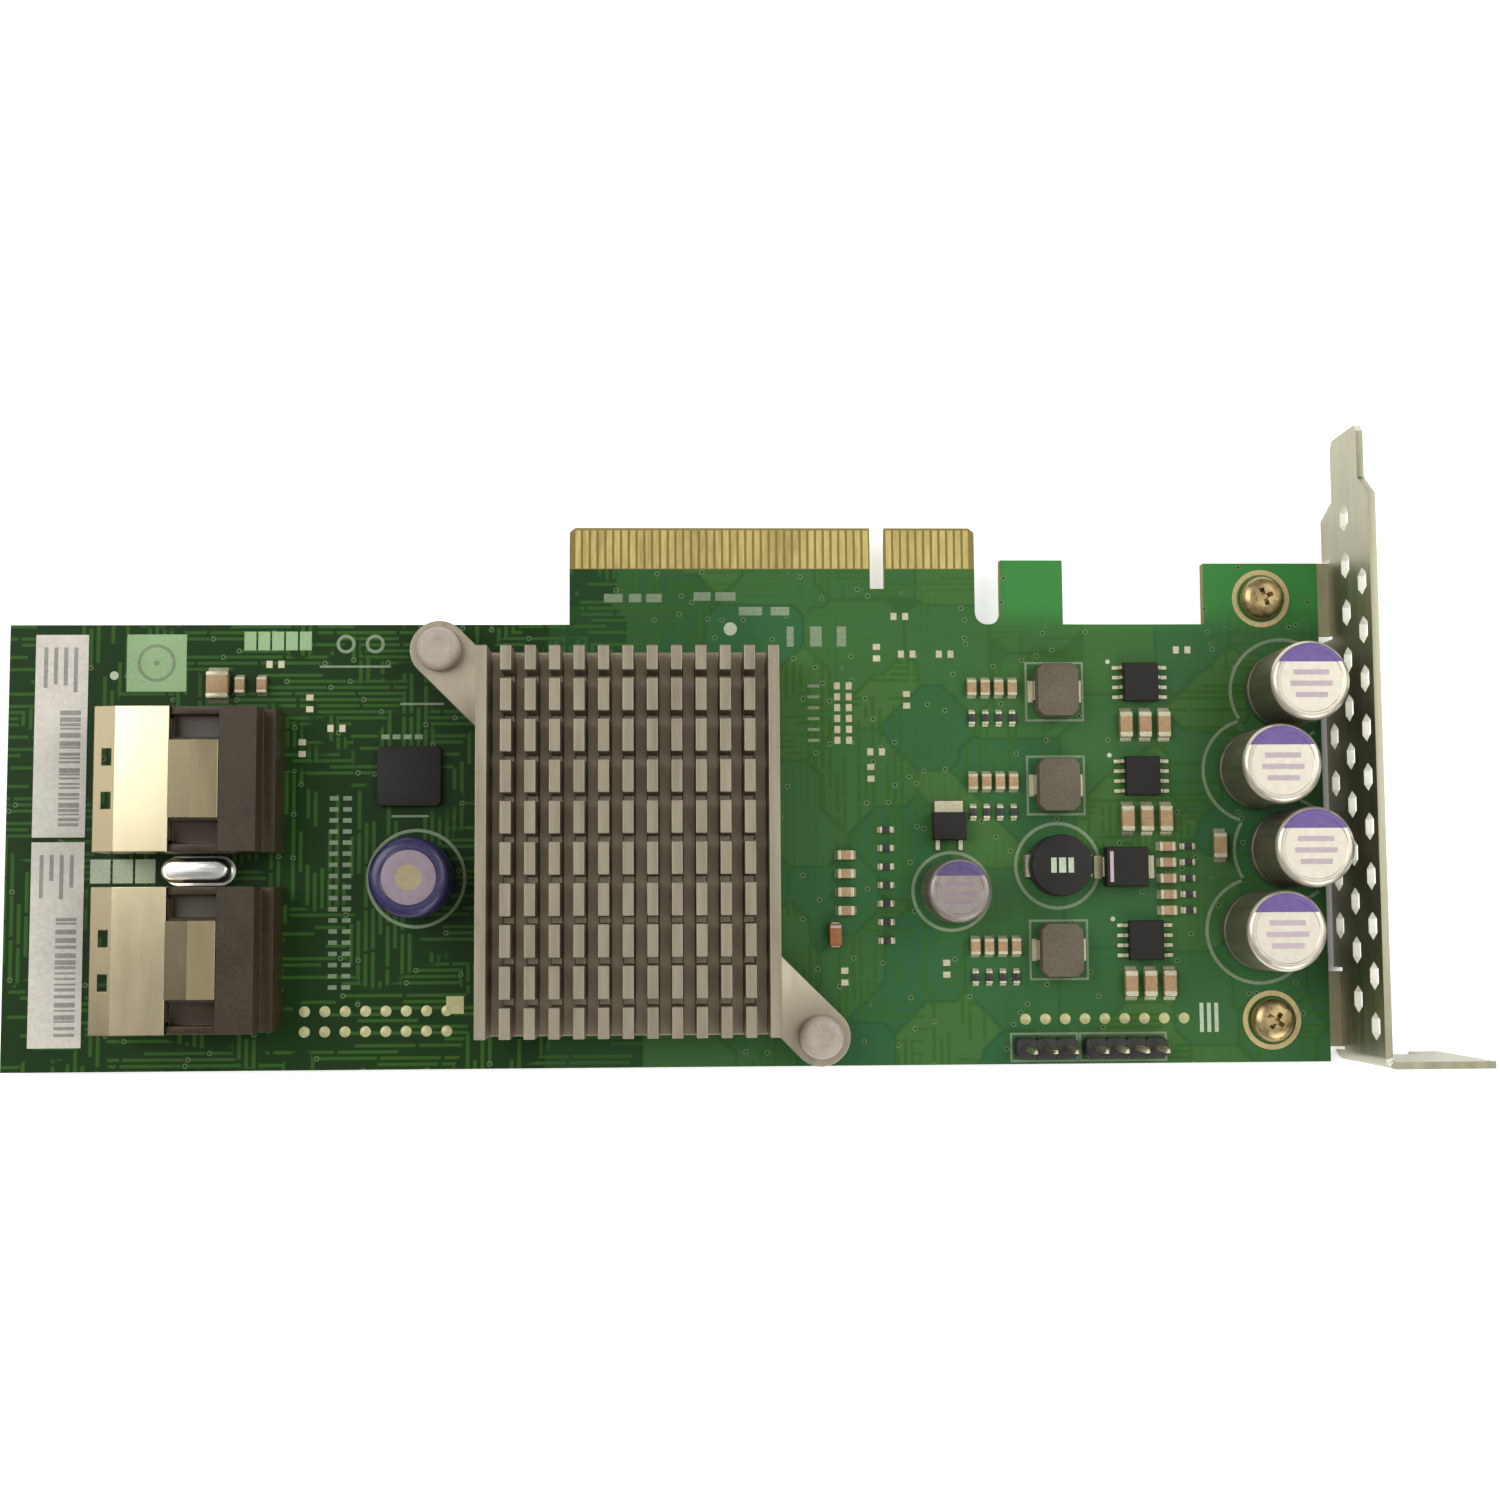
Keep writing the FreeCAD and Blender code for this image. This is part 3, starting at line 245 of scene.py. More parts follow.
# Board print: pale epoxy ink screened on the mask, as rings round the cans, outlines, bars and
# dots that show where pieces go. Each mark is a thin closed film of ink.
INK_THICK, INK_SINK, FIELD_DROP = 0.03, 0.01, 0.01
INK_LINE, RING_LINE = 0.28, 0.42
INK_WHITE, INK_FAINT, INK_GREEN = (186, 200, 172), (128, 147, 114), (148, 180, 132)
CAN_RING, SMALL_RING, SLEEVE_RING, CHOKE_RING = 6.9, 5.15, 6.3, 5.6
RING_STEPS, RING_END = 90, 0.6
HEADER_ROOM, INDUCTOR_ROOM = (1.1, 1.1), (1.7, 0.9)
RULES = ((-58.3, -22.8, 5.5), (-59.7, -37.1, 4.7), (-66.8, -18.0, 9.0))
DASHES = ((-62.9, -27.0, 4, (1.4, 0), 1.0, 0.6), (-8.4, -20.6, 6, (0, -1.4), 1.5, 0.4),
          (-69.3, -34.8, 18, (0, -1.4), 1.1, 0.55), (-67.6, -34.8, 18, (0, -1.4), 1.1, 0.55))
TICKS = ((40.85, -63.2, 3, (0.95, 0), 0.5, 3.7), (-98.4, -43.9, 3, (2.8, 0), 2.5, 3.0))
GREEN_BLOCKS = (-80.1, -14.7, 5, (1.75, 0), 1.5, 2.4)
BLOCKS, BLOCK_WIDTH = ((-11.3, -14.2, 0.9), (-8.0, -14.2, 1.5), (-4.7, -14.2, 1.2)), 2.6
EYES, EYE_RADIUS, THIN_RING = ((-68.0, -15.1), (-64.3, -15.1)), 1.2, 0.4
EDGE_BARS = ((-34.0, -9.2, 2.4), (-31.2, -9.2, 1.6), (-28.8, -9.2, 2.0), (-22.6, -9.0, 2.2),
             (-19.6, -9.0, 2.6), (-16.4, -10.9, 3.0), (-12.6, -10.9, 2.4))
DOTS = ((-97.15, -19.1, 0.55), (-19.0, -13.2, 0.85))
EDGE_BAR_WIDTH, FIRST_PIN_DOT = 1.1, 0.3
TARGET, TARGET_FIELD, TARGET_RING, TARGET_DOT = (-91.85, -17.5), (7.5, 7.3), 2.4, 0.35
SHARP = math.radians(32)


def speckle_effect():
    """Fine and broad grain mixed, for colour and gloss, with the fine grain alone for relief."""
    group, start, end = effect(
        "speckle",
        [("Vector", "Vector", None), ("Scale", "Float", 1000.0), ("Stretch", "Vector", (1, 1, 1))],
        [("Mask", "Float"), ("Height", "Float")])
    where = put(group, "ShaderNodeVectorMath", {0: start["Vector"], 1: start["Stretch"]},
                operation="MULTIPLY").outputs[0]
    fine = put(group, "ShaderNodeTexNoise", {"Vector": where, "Scale": start["Scale"], "Detail": 5.0,
                                             "Roughness": 0.65}).outputs["Fac"]
    wide = work(group, "MULTIPLY", start["Scale"], 0.07)
    broad = put(group, "ShaderNodeTexNoise", {"Vector": where, "Scale": wide, "Detail": 2.0}).outputs["Fac"]
    both = work(group, "ADD", work(group, "MULTIPLY", fine, 0.65), work(group, "MULTIPLY", broad, 0.35))
    group.links.new(ramp(group, both, 0.36, 0.64), end["Mask"])
    group.links.new(fine, end["Height"])
    return group


speckle = speckle_effect()


def grained(name, dark, light, scale, rough, bump, stretch=(1, 1, 1), shade=1.0, **sockets):
    """A finish whose colour, gloss and relief follow a grain; scale is in grains a metre."""
    material, tree, shader = finish(name, **sockets)
    where = put(tree, "ShaderNodeTexCoord").outputs["Object"]
    grain = put(tree, "ShaderNodeGroup", {"Vector": where, "Scale": scale, "Stretch": stretch},
                node_tree=speckle).outputs
    tree.links.new(tint(tree, grain["Mask"], ink(dark, shade), ink(light)), shader["Base Color"])
    tree.links.new(ramp(tree, grain["Mask"], 0.0, 1.0, *rough), shader["Roughness"])
    if bump:
        sockets = {"Strength": 0.5, "Distance": bump * MM, "Height": grain["Height"]}
        tree.links.new(put(tree, "ShaderNodeBump", sockets).outputs["Normal"], shader["Normal"])
    return material


def fit(piece, slot, *stands_for):
    """Fix a finished piece to the card."""
    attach(piece, "root")
    if stands_for:
        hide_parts(*stands_for)


def stand(name, data):
    """Bring a mesh, lamp or camera into the scene."""
    thing = bpy.data.objects.new(name, data)
    bpy.context.scene.collection.objects.link(thing)
    return thing


def smooth(mesh):
    """Shade a mesh smooth but for its corners."""
    mesh.shade_smooth()
    mesh.set_sharp_from_angle(angle=SHARP)


def solid(name, bm, *finishes):
    """Close a shape drawn in millimetres into an object."""
    bmesh.ops.recalc_face_normals(bm, faces=bm.faces)
    mesh = bpy.data.meshes.new(name)
    bm.to_mesh(mesh)
    bm.free()
    mesh.transform(Matrix.Scale(MM, 4))
    for material in finishes:
        mesh.materials.append(material)
    smooth(mesh)
    return stand(name, mesh)


def lathe(bm, x, y, profile, steps, ring=False):
    """Turn a profile of radius and height about an upright axis; a ring closes the profile itself."""
    turns = []
    for radius, z in profile:
        if radius == 0:
            turns.append([bm.verts.new((x, y, z))] * steps)
        else:
            angles = (math.tau * i / steps for i in range(steps))
            rim = ((x + radius * math.cos(a), y + radius * math.sin(a), z) for a in angles)
            turns.append([bm.verts.new(point) for point in rim])
    pairs = list(zip(turns, turns[1:])) + ([(turns[-1], turns[0])] if ring else [])
    for low, high in pairs:
        for i in range(steps):
            loop = [low[i], low[(i + 1) % steps], high[(i + 1) % steps], high[i]]
            bm.faces.new([v for n, v in enumerate(loop) if v not in loop[:n]])


def stack(bm, layers, coat=0):
    """Join outlines of equal count, each at its height, into one closed shape."""
    rims = [[bm.verts.new((x, y, z)) for x, y in outline] for z, outline in layers]
    faces = [bm.faces.new(rims[0][::-1]), bm.faces.new(rims[-1])]
    for low, high in zip(rims, rims[1:]):
        for i in range(len(low)):
            j = (i + 1) % len(low)
            faces.append(bm.faces.new((low[i], low[j], high[j], high[i])))
    for face in faces:
        face.material_index = coat
    return faces


def rectangle(x, y, length, width):
    """A flat outline centred on x and y."""
    a, b = length / 2, width / 2
    return [(x - a, y - b), (x + a, y - b), (x + a, y + b), (x - a, y + b)]


def bar(bm, x, y, length, width, low, high, coat=0):
    """A block with square corners, centred on x and y."""
    return stack(bm, [(z, rectangle(x, y, length, width)) for z in (low, high)], coat)


film = (board_high.z - INK_SINK, board_high.z + INK_THICK)
INK_GRAIN = (2500, (0.5, 0.75), 0.01)
white_ink = grained("white_ink", INK_WHITE, INK_WHITE, *INK_GRAIN, shade=0.86)
faint_ink = grained("faint_ink", INK_FAINT, INK_FAINT, *INK_GRAIN, shade=0.8)
pale_green_ink = grained("pale_green_ink", INK_GREEN, INK_GREEN, *INK_GRAIN, shade=0.88)


def mark(bm, u, v, length, width):
    """A printed bar, placed from the key slot."""
    bar(bm, key.x + u, key.y + v, length, width, *film)


def mark_row(bm, u, v, count, step, length, width):
    """Like bars in a row: where it starts, how many, and the step from each to the next."""
    for i in range(count):
        mark(bm, u + i * step[0], v + i * step[1], length, width)


def print_frame(bm, node, room):
    """A printed frame round a piece: two long bars with two short ones between them."""
    low, high = corners(node)
    x, y = (low.x + high.x) / 2, (low.y + high.y) / 2
    length, width = high.x - low.x + room[0], high.y - low.y + room[1]
    for side in (1, -1):
        bar(bm, x, y + side * (width - INK_LINE) / 2, length, INK_LINE, *film)
        bar(bm, x + side * (length - INK_LINE) / 2, y, INK_LINE, width - 2 * INK_LINE, *film)


def disc(bm, x, y, radius):
    """A printed dot."""
    lathe(bm, x, y, [(0, film[0]), (radius, film[0]), (radius, film[1]), (0, film[1])], 24)


def hoop(bm, x, y, radius, line):
    """A printed ring."""
    inner = radius - line
    profile = [(radius, film[0]), (radius, film[1]), (inner, film[1]), (inner, film[0])]
    lathe(bm, x, y, profile, 72, ring=True)


def middle(node):
    """The centre of a CAD node's box in millimetres."""
    low, high = corners(node)
    return (low + high) / 2


def can_arc(centre, step):
    """One short stretch of the ring round a can, as a flat outline."""
    first, last = (math.tau * (step + end) / RING_STEPS for end in (0, 1))
    inner = CAN_RING - RING_LINE
    return [(centre.x + r * math.cos(a), centre.y + r * math.sin(a))
            for r, a in ((CAN_RING, first), (CAN_RING, last), (inner, last), (inner, first))]


bm = bmesh.new()
cans = [middle("capacitor_%d" % i) for i in (1, 2, 3, 4)]
for centre in cans:
    others = [other.xy for other in cans if other != centre]
    for step in range(RING_STEPS):
        arc = can_arc(centre, step)
        clear = all((Vector(point) - other).length > CAN_RING for point in arc for other in others)
        if clear and all(x < board_high.x - RING_END for x, y in arc):
            stack(bm, [(z, arc) for z in film])
for node, radius in (("capacitor_small", SMALL_RING), ("sleeved_capacitor", SLEEVE_RING),
                     ("choke", CHOKE_RING)):
    hoop(bm, middle(node).x, middle(node).y, radius, RING_LINE)
for node in ("header_three", "header_four"):
    print_frame(bm, node, HEADER_ROOM)
for node in ("inductor_1", "inductor_2", "inductor_3"):
    print_frame(bm, node, INDUCTOR_ROOM)
for bars, width in ((RULES, INK_LINE), (BLOCKS, BLOCK_WIDTH), (EDGE_BARS, EDGE_BAR_WIDTH)):
    for u, v, length in bars:
        mark(bm, u, v, length, width)
for row in DASHES:
    mark_row(bm, *row)
for u, v in EYES:
    hoop(bm, key.x + u, key.y + v, EYE_RADIUS, THIN_RING)
fit(solid("board_print", bm, faint_ink), "label_paper")

bm = bmesh.new()
for node in ("power_switch_1", "power_switch_2", "power_switch_3"):
    low, high = corners(node)
    disc(bm, low.x - 0.5, high.y + 0.2, FIRST_PIN_DOT)
for u, v, radius in DOTS:
    disc(bm, key.x + u, key.y + v, radius)
for row in TICKS:
    mark_row(bm, *row)
fit(solid("board_print_marks", bm, white_ink), "label_paper")

target_x, target_y = key.x + TARGET[0], key.y + TARGET[1]
bm = bmesh.new()
bar(bm, target_x, target_y, *TARGET_FIELD, film[0], film[1] - FIELD_DROP)
mark_row(bm, *GREEN_BLOCKS)
fit(solid("board_print_fields", bm, pale_green_ink), "label_paper")

bm = bmesh.new()
hoop(bm, target_x, target_y, TARGET_RING, THIN_RING)
disc(bm, target_x, target_y, TARGET_DOT)
fit(solid("board_print_target", bm, faint_ink), "label_paper")

# Tinned lands: copper left open in the mask and coated with solder, as rows of filled holes and
# paired pads for pieces that aren't fitted, rings round the screws, and joints on the underside.
PITCH = 2.54
NINE_HOLES, SIXTEEN_HOLES, SQUARE_LAND = (28.42, -63.25), (-63.81, -62.87), (-53.9, -60.9)
LAND_SINK, LAND_RISE = 0.01, 0.05
PAIRS_LEVEL = ((2.8, -11.6), (3.7, -16.5), (8.6, -16.5), (-0.4, -29.1), (-76.9, -17.7), (-69.1, -25.9),
               (39.4, -16.0), (-4.6, -20.6), (-4.6, -22.0), (-4.6, -23.4), (-4.6, -24.8), (-4.6, -26.2),
               (-4.6, -27.6))
PAIRS_UPRIGHT = ((-0.2, -16.3), (3.6, -22.4), (-1.1, -31.8), (8.3, -56.8), (-4.7, -57.7), (-73.4, -28.4),
                 (-72.5, -22.7))
SCREW_HEAD = 5.6
SCREW_LAND, SCREW_LAND_HOLE, SCREW_LAND_RISE = 3.75, 3.1, 0.04
LEAD_SPREAD, SMALL_LEAD_SPREAD, CRYSTAL_SPREAD = 2.5, 1.75, 2.44
solder = grained("solder", (172, 166, 138), (206, 202, 172), 3000, (0.35, 0.55), 0.02, metallic=0.55)
fill_solder = grained("fill_solder", (170, 168, 120), (194, 192, 142), 3000, (0.35, 0.55), 0.02,
                      metallic=0.4)
plated_ring = grained("plated_ring", (176, 156, 104), (204, 186, 136), 1800, (0.4, 0.6), 0.015,
                      metallic=0.4)


def pattern_tree(name, **inputs):
    """Start a tree that lays out like pieces, with a named input for each of its values."""
    tree = bpy.data.node_groups.new(name, "GeometryNodeTree")
    tree.interface.new_socket("Geometry", in_out="INPUT", socket_type="NodeSocketGeometry")
    for label, (kind, value) in inputs.items():
        plain = label.replace("_", " ")
        socket = tree.interface.new_socket(plain, in_out="INPUT", socket_type="NodeSocket" + kind)
        socket.default_value = value
    for label, kind in (("Piece", "Object"), ("Finish", "Material")):
        tree.interface.new_socket(label, in_out="INPUT", socket_type="NodeSocket" + kind)
    tree.interface.new_socket("Geometry", in_out="OUTPUT", socket_type="NodeSocketGeometry")
    return tree, tree.nodes.new("NodeGroupInput").outputs


def lay_out(tree, given, points, **sockets):
    """Set a copy of the piece on each point, make the copies real and give them their finish."""
    piece = put(tree, "GeometryNodeObjectInfo", {"Object": given["Piece"]}).outputs["Geometry"]
    placed = put(tree, "GeometryNodeInstanceOnPoints", {"Points": points, "Instance": piece, **sockets})
    real = put(tree, "GeometryNodeRealizeInstances", {"Geometry": placed.outputs["Instances"]})
    done = put(tree, "GeometryNodeSetMaterial", {"Geometry": real.outputs["Geometry"],
                                                 "Material": given["Finish"]})
    put(tree, "NodeGroupOutput", {"Geometry": done.outputs["Geometry"]})


def rows_tree():
    """Like pieces in straight rows a pitch apart."""
    tree, given = pattern_tree(
        "rows_of_pieces", Count=("Int", 2), Rows=("Int", 1), Pitch=("Float", PITCH * MM),
        Row_gap=("Float", PITCH * MM), Turn=("Vector", (0, 0, 0)), Centre=("Vector", (0, 0, 0)))
    length = work(tree, "MULTIPLY", given["Pitch"], work(tree, "SUBTRACT", given["Count"], 1.0))
    width = work(tree, "MULTIPLY", given["Row gap"], work(tree, "SUBTRACT", given["Rows"], 1.0))
    sockets = {"Size X": length, "Size Y": width,
               "Vertices X": given["Count"], "Vertices Y": given["Rows"]}
    grid = put(tree, "GeometryNodeMeshGrid", sockets).outputs["Mesh"]
    points = put(tree, "GeometryNodeTransform", {"Geometry": grid, "Translation": given["Centre"],
                                                 "Rotation": given["Turn"]}).outputs["Geometry"]
    lay_out(tree, given, points)
    return tree


def places_tree():
    """Like pieces at given points, each turned about an upright axis and stretched to its own size."""
    tree, given = pattern_tree("pieces_in_places", Grow=("Float", 1.0))
    turn = put(tree, "GeometryNodeInputNamedAttribute", {"Name": "turn"}, data_type="FLOAT")
    size = put(tree, "GeometryNodeInputNamedAttribute", {"Name": "size"}, data_type="FLOAT_VECTOR")
    grown = put(tree, "ShaderNodeVectorMath", {0: size.outputs["Attribute"], "Scale": given["Grow"]},
                operation="SCALE").outputs[0]
    euler = put(tree, "ShaderNodeCombineXYZ", {"Z": turn.outputs["Attribute"]}).outputs[0]
    lay_out(tree, given, given["Geometry"], Rotation=euler, Scale=grown)
    return tree


rows_of_pieces = rows_tree()
pieces_in_places = places_tree()


def grow(name, tree, pattern, material, spots=((0, 0, 0),), turns=None, sizes=None, **values):
    """Run a tree over points in millimetres, keep the result as a plain mesh and drop the pattern."""
    cloud = bpy.data.meshes.new(name)
    cloud.from_pydata([Vector(spot) * MM for spot in spots], [], [])
    turns = turns or [0.0] * len(spots)
    stretch = [share for size in sizes or [(1, 1, 1)] * len(spots) for share in size]
    cloud.attributes.new("turn", "FLOAT", "POINT").data.foreach_set("value", turns)
    cloud.attributes.new("size", "FLOAT_VECTOR", "POINT").data.foreach_set("vector", stretch)
    piece = stand(name, cloud)
    maker = piece.modifiers.new("Maker", "NODES")
    maker.node_group = tree
    values.update(Piece=pattern, Finish=material)
    for socket in tree.interface.items_tree:
        label = socket.name.replace(" ", "_")
        if socket.in_out == "INPUT" and label in values:
            maker[socket.identifier] = values[label]
    mesh = bpy.data.meshes.new_from_object(piece.evaluated_get(bpy.context.evaluated_depsgraph_get()))
    piece.modifiers.remove(maker)
    piece.data = mesh
    bpy.data.objects.remove(pattern)
    smooth(mesh)
    return piece


def filled_hole():
    """A plated hole that solder has filled and domed."""
    bm = bmesh.new()
    lathe(bm, 0, 0, [(0, 0.16), (0.3, 0.13), (0.5, 0.06), (0.68, 0.035), (0.7, -0.01), (0, -0.01)], 20)
    return solid("filled_hole", bm)


def edged_bar(bm, x, y, length, width, low, high, edge, coat=0):
    """A flat block with its edges broken."""
    block = bar(bm, x, y, length, width, low, high, coat)
    edges = list({e for face in block for e in face.edges})
    bmesh.ops.bevel(bm, geom=edges, offset=edge, segments=1, affect="EDGES")


def pad_pair():
    """Two pads for one small part."""
    bm = bmesh.new()
    for side in (1, -1):
        edged_bar(bm, 0.75 * side, 0, 0.8, 0.95, -LAND_SINK, LAND_RISE, 0.04)
    return solid("pad_pair", bm)


def on_board(u, v):
    """A point on the board's face, placed from the key slot."""
    return Vector((key.x + u, key.y + v, board_high.z))


nine, sixteen, square = on_board(*NINE_HOLES), on_board(*SIXTEEN_HOLES), on_board(*SQUARE_LAND)
fit(grow("nine_filled_holes", rows_of_pieces, filled_hole(), fill_solder, Count=9, Rows=1,
         Pitch=PITCH * MM, Centre=nine * MM), "pin_metal")
fit(grow("sixteen_filled_holes", rows_of_pieces, filled_hole(), fill_solder, Count=8, Rows=2,
         Pitch=PITCH * MM, Row_gap=PITCH * MM, Centre=sixteen * MM), "pin_metal")
bm = bmesh.new()
bar(bm, square.x, square.y, 2.2, 2.2, square.z - LAND_SINK, square.z + LAND_RISE)
fit(solid("square_land", bm, fill_solder), "pin_metal")
pairs = [on_board(u, v) for u, v in PAIRS_LEVEL + PAIRS_UPRIGHT]
turns = [0.0] * len(PAIRS_LEVEL) + [math.radians(90)] * len(PAIRS_UPRIGHT)
fit(grow("open_pads", pieces_in_places, pad_pair(), solder, pairs, turns), "pin_metal")

low, high = corners("bracket_screws")
screw_x = (low.x + high.x) / 2
screw_ys = (high.y - SCREW_HEAD / 2, low.y + SCREW_HEAD / 2)
bm = bmesh.new()
for y in screw_ys:
    for face, out in ((board_high.z, 1), (board_low.z, -1)):
        under, over = face - LAND_SINK * out, face + SCREW_LAND_RISE * out
        lathe(bm, screw_x, y, [(SCREW_LAND_HOLE, under), (SCREW_LAND, under), (SCREW_LAND, over),
                               (SCREW_LAND_HOLE, over)], 56, ring=True)
fit(solid("screw_lands", bm, plated_ring), "screw_steel")

bm = bmesh.new()
lathe(bm, 0, 0, [(0, -1.15), (0.3, -1.15), (0.34, -0.8), (0.5, -0.35), (0.95, -0.04), (0.95, 0.01),
                 (0, 0.01)], 14)
joint = solid("lead_joint", bm)
joints = []
SPREADS = dict.fromkeys(["capacitor_%d" % i for i in (1, 2, 3, 4)], LEAD_SPREAD)
SPREADS.update(capacitor_small=SMALL_LEAD_SPREAD, sleeved_capacitor=LEAD_SPREAD)
for node, spread in SPREADS.items():
    centre = middle(node)
    joints += [(centre.x, centre.y + spread * side, board_low.z) for side in (1, -1)]
centre = middle("crystal")
joints += [(centre.x + CRYSTAL_SPREAD * side, centre.y, board_low.z) for side in (1, -1)]
HEADERS = {"header_three": 3, "header_four": 4}
for node, count in HEADERS.items():
    first = corners(node)[0].x + PITCH / 2
    joints += [(first + PITCH * i, middle(node).y, board_low.z) for i in range(count)]
joints += [(nine.x + PITCH * (i - 4), nine.y, board_low.z) for i in range(9)]
joints += [(sixteen.x + PITCH * (i - 3.5), sixteen.y + PITCH * row, board_low.z)
           for i in range(8) for row in (-0.5, 0.5)]
fit(grow("lead_joints", pieces_in_places, joint, solder, joints), "pin_metal")

# Edge contacts: copper fingers with hard gold plating on both faces of the tongue, polished
# lengthways by each insertion into the slot.
edge_gold = grained("edge_gold", (196, 176, 108), (216, 197, 130), 2600, (0.3, 0.45), 0.004,
                    stretch=(1, 0.12, 1), metallic=0.95)
dress("edge_contacts_front", edge_gold)
dress("edge_contacts_back", edge_gold)

# Controller: ball-grid package with a black moulded top, soldered to the board, and a soft grey
# pad on it that carries its heat to the sink.
package_black = grained("package_black", (22, 19, 16), (36, 32, 27), 4200, (0.5, 0.7), 0.02,
                        specular_ior_level=0.3)
pad_grey = grained("pad_grey", (116, 118, 122), (142, 144, 147), 2200, (0.7, 0.9), 0.03)
dress("controller_chip", package_black)
dress("thermal_pad", pad_grey)

# Heat sink: extruded aluminium with thirteen fins, sawn across into stubs between the two whole
# outer ones, and two diagonal lugs for its pins. Edges are broken by tumbling.
SINK_EDGE = 0.14
SAME_POINT, FLAT_ANGLE = 0.002, 0.5
sink_aluminium = grained("sink_aluminium", (146, 137, 118), (166, 157, 138), 900, (0.38, 0.55), 0.012,
                         stretch=(1, 0.08, 0.4), metallic=0.9)


def softened(node, name, edge, *finishes):
    """A copy of a CAD solid with its flat faces whole and its edges broken."""
    bm = bmesh.new()
    bm.from_mesh(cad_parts[node].data)
    bmesh.ops.remove_doubles(bm, verts=bm.verts, dist=SAME_POINT * MM)
    bmesh.ops.dissolve_limit(bm, angle_limit=math.radians(FLAT_ANGLE), verts=bm.verts, edges=bm.edges)
    bmesh.ops.connect_verts_concave(bm, faces=bm.faces)
    mesh = bpy.data.meshes.new(name)
    bm.to_mesh(mesh)
    bm.free()
    mesh.materials.clear()
    for material in finishes:
        mesh.materials.append(material)
    smooth(mesh)
    piece = stand(name, mesh)
    broken = piece.modifiers.new("Broken edges", "BEVEL")
    broken.width = edge * MM
    broken.segments = 2
    broken.limit_method = "ANGLE"
    broken.angle_limit = SHARP
    broken.harden_normals = True
    return piece


fit(softened("heat_sink", "heat_sink_body", SINK_EDGE, sink_aluminium), "sink_aluminium", "heat_sink")

# Push pins: moulded nylon, pressed through the lugs and the board until their barbs spring open
# under it. The crowned head carries a shallow thumb dish.
HEAD_HEIGHT, SHANK, BARB = 1.9, 1.4, 1.8
pin_nylon = grained("pin_nylon", (158, 146, 134), (176, 164, 151), 2600, (0.38, 0.55), 0.02,
                    subsurface_weight=0.15, subsurface_scale=0.001)
for node in ("push_pin_a", "push_pin_b"):
    low, high = corners(node)
    centre = middle(node)
    head, top = (high.x - low.x) / 2, high.z
    lug = top - HEAD_HEIGHT
    bm = bmesh.new()
    lathe(bm, centre.x, centre.y, [
        (0, 0), (0.75, 0), (0.95, 0.15), (BARB, 1.75), (BARB, 2.15), (SHANK, board_low.z), (SHANK, lug),
        (head - 0.1, lug), (head, lug + 0.12), (head, top - 0.75), (head - 0.15, top - 0.4),
        (head - 0.45, top - 0.13), (head - 0.8, top), (1.35, top), (1.15, top - 0.1), (0.7, top - 0.22),
        (0, top - 0.26)], 56)
    fit(solid(node + "_body", bm, pin_nylon), "pin_plastic", node)

# Cable ports: a stamped, tin-plated shell with latch windows and a rear strap, folded over a black
# glass-filled housing with a floor under the mouth. Two rows of gold contacts line its slot. Darker
# copies of the tin are painted shade: the darkest on the shell's sloping faces, such as the front lip,
# and on the strap's flat faces, and a middle tone on the strap's sloping faces.
SHELL_EDGE, HOUSING_EDGE, FOLD = 0.09, 0.16, math.radians(10)
STRAP_REACH, ON_PLANE, SLOPING = 5.9, 0.01, (0.2, 0.9975)
CONTACTS, CONTACT_PITCH, BLADE, BLADE_GAP = 18, 0.8, (3.6, 0.42, 0.07), 0.12
SLOT_FLOOR, SLOT_ROOF, CONTACT_INSET = 8.195, 10.095, 6.3
FLAT_TIN, STRAP_PAINTED_SHADE, DEEP_PAINTED_SHADE = range(3)
tin_grain = {"stretch": (1, 0.2, 1), "metallic": 0.95}
shell_tin = grained("shell_tin", (190, 178, 146), (202, 190, 158), 260, (0.19, 0.25), 0, **tin_grain)
# Painted shade: the strap and fold tins are the shell tin made darker.
strap_tin = grained("strap_tin", (160, 146, 114), (174, 160, 128), 260, (0.22, 0.3), 0, **tin_grain)
fold_tin = grained("fold_tin", (116, 106, 82), (126, 116, 93), 260, (0.22, 0.3), 0, **tin_grain)
housing_black = grained("housing_black", (44, 35, 22), (62, 51, 34), 3000, (0.28, 0.42), 0.01,
                        specular_ior_level=0.32)


def coat_shell(shell, strap_x):
    """Part the strap from the shell and give each its tin, the darker tins being painted shade."""
    bm = bmesh.new()
    bm.from_mesh(shell.data)
    bmesh.ops.bisect_plane(bm, geom=bm.verts[:] + bm.edges[:] + bm.faces[:], dist=ON_PLANE * MM,
                           plane_co=(strap_x, 0, 0), plane_no=(1, 0, 0))
    # Sloping faces and the strap take the darker tins, a painted shade.
    for face in bm.faces:
        sloping = SLOPING[0] < face.normal.z < SLOPING[1]
        if face.calc_center_median().x > strap_x:
            face.material_index = STRAP_PAINTED_SHADE if sloping else DEEP_PAINTED_SHADE
        else:
            face.material_index = DEEP_PAINTED_SHADE if sloping else FLAT_TIN
    bm.to_mesh(shell.data)
    bm.free()
    shell.data.set_sharp_from_angle(angle=FOLD)


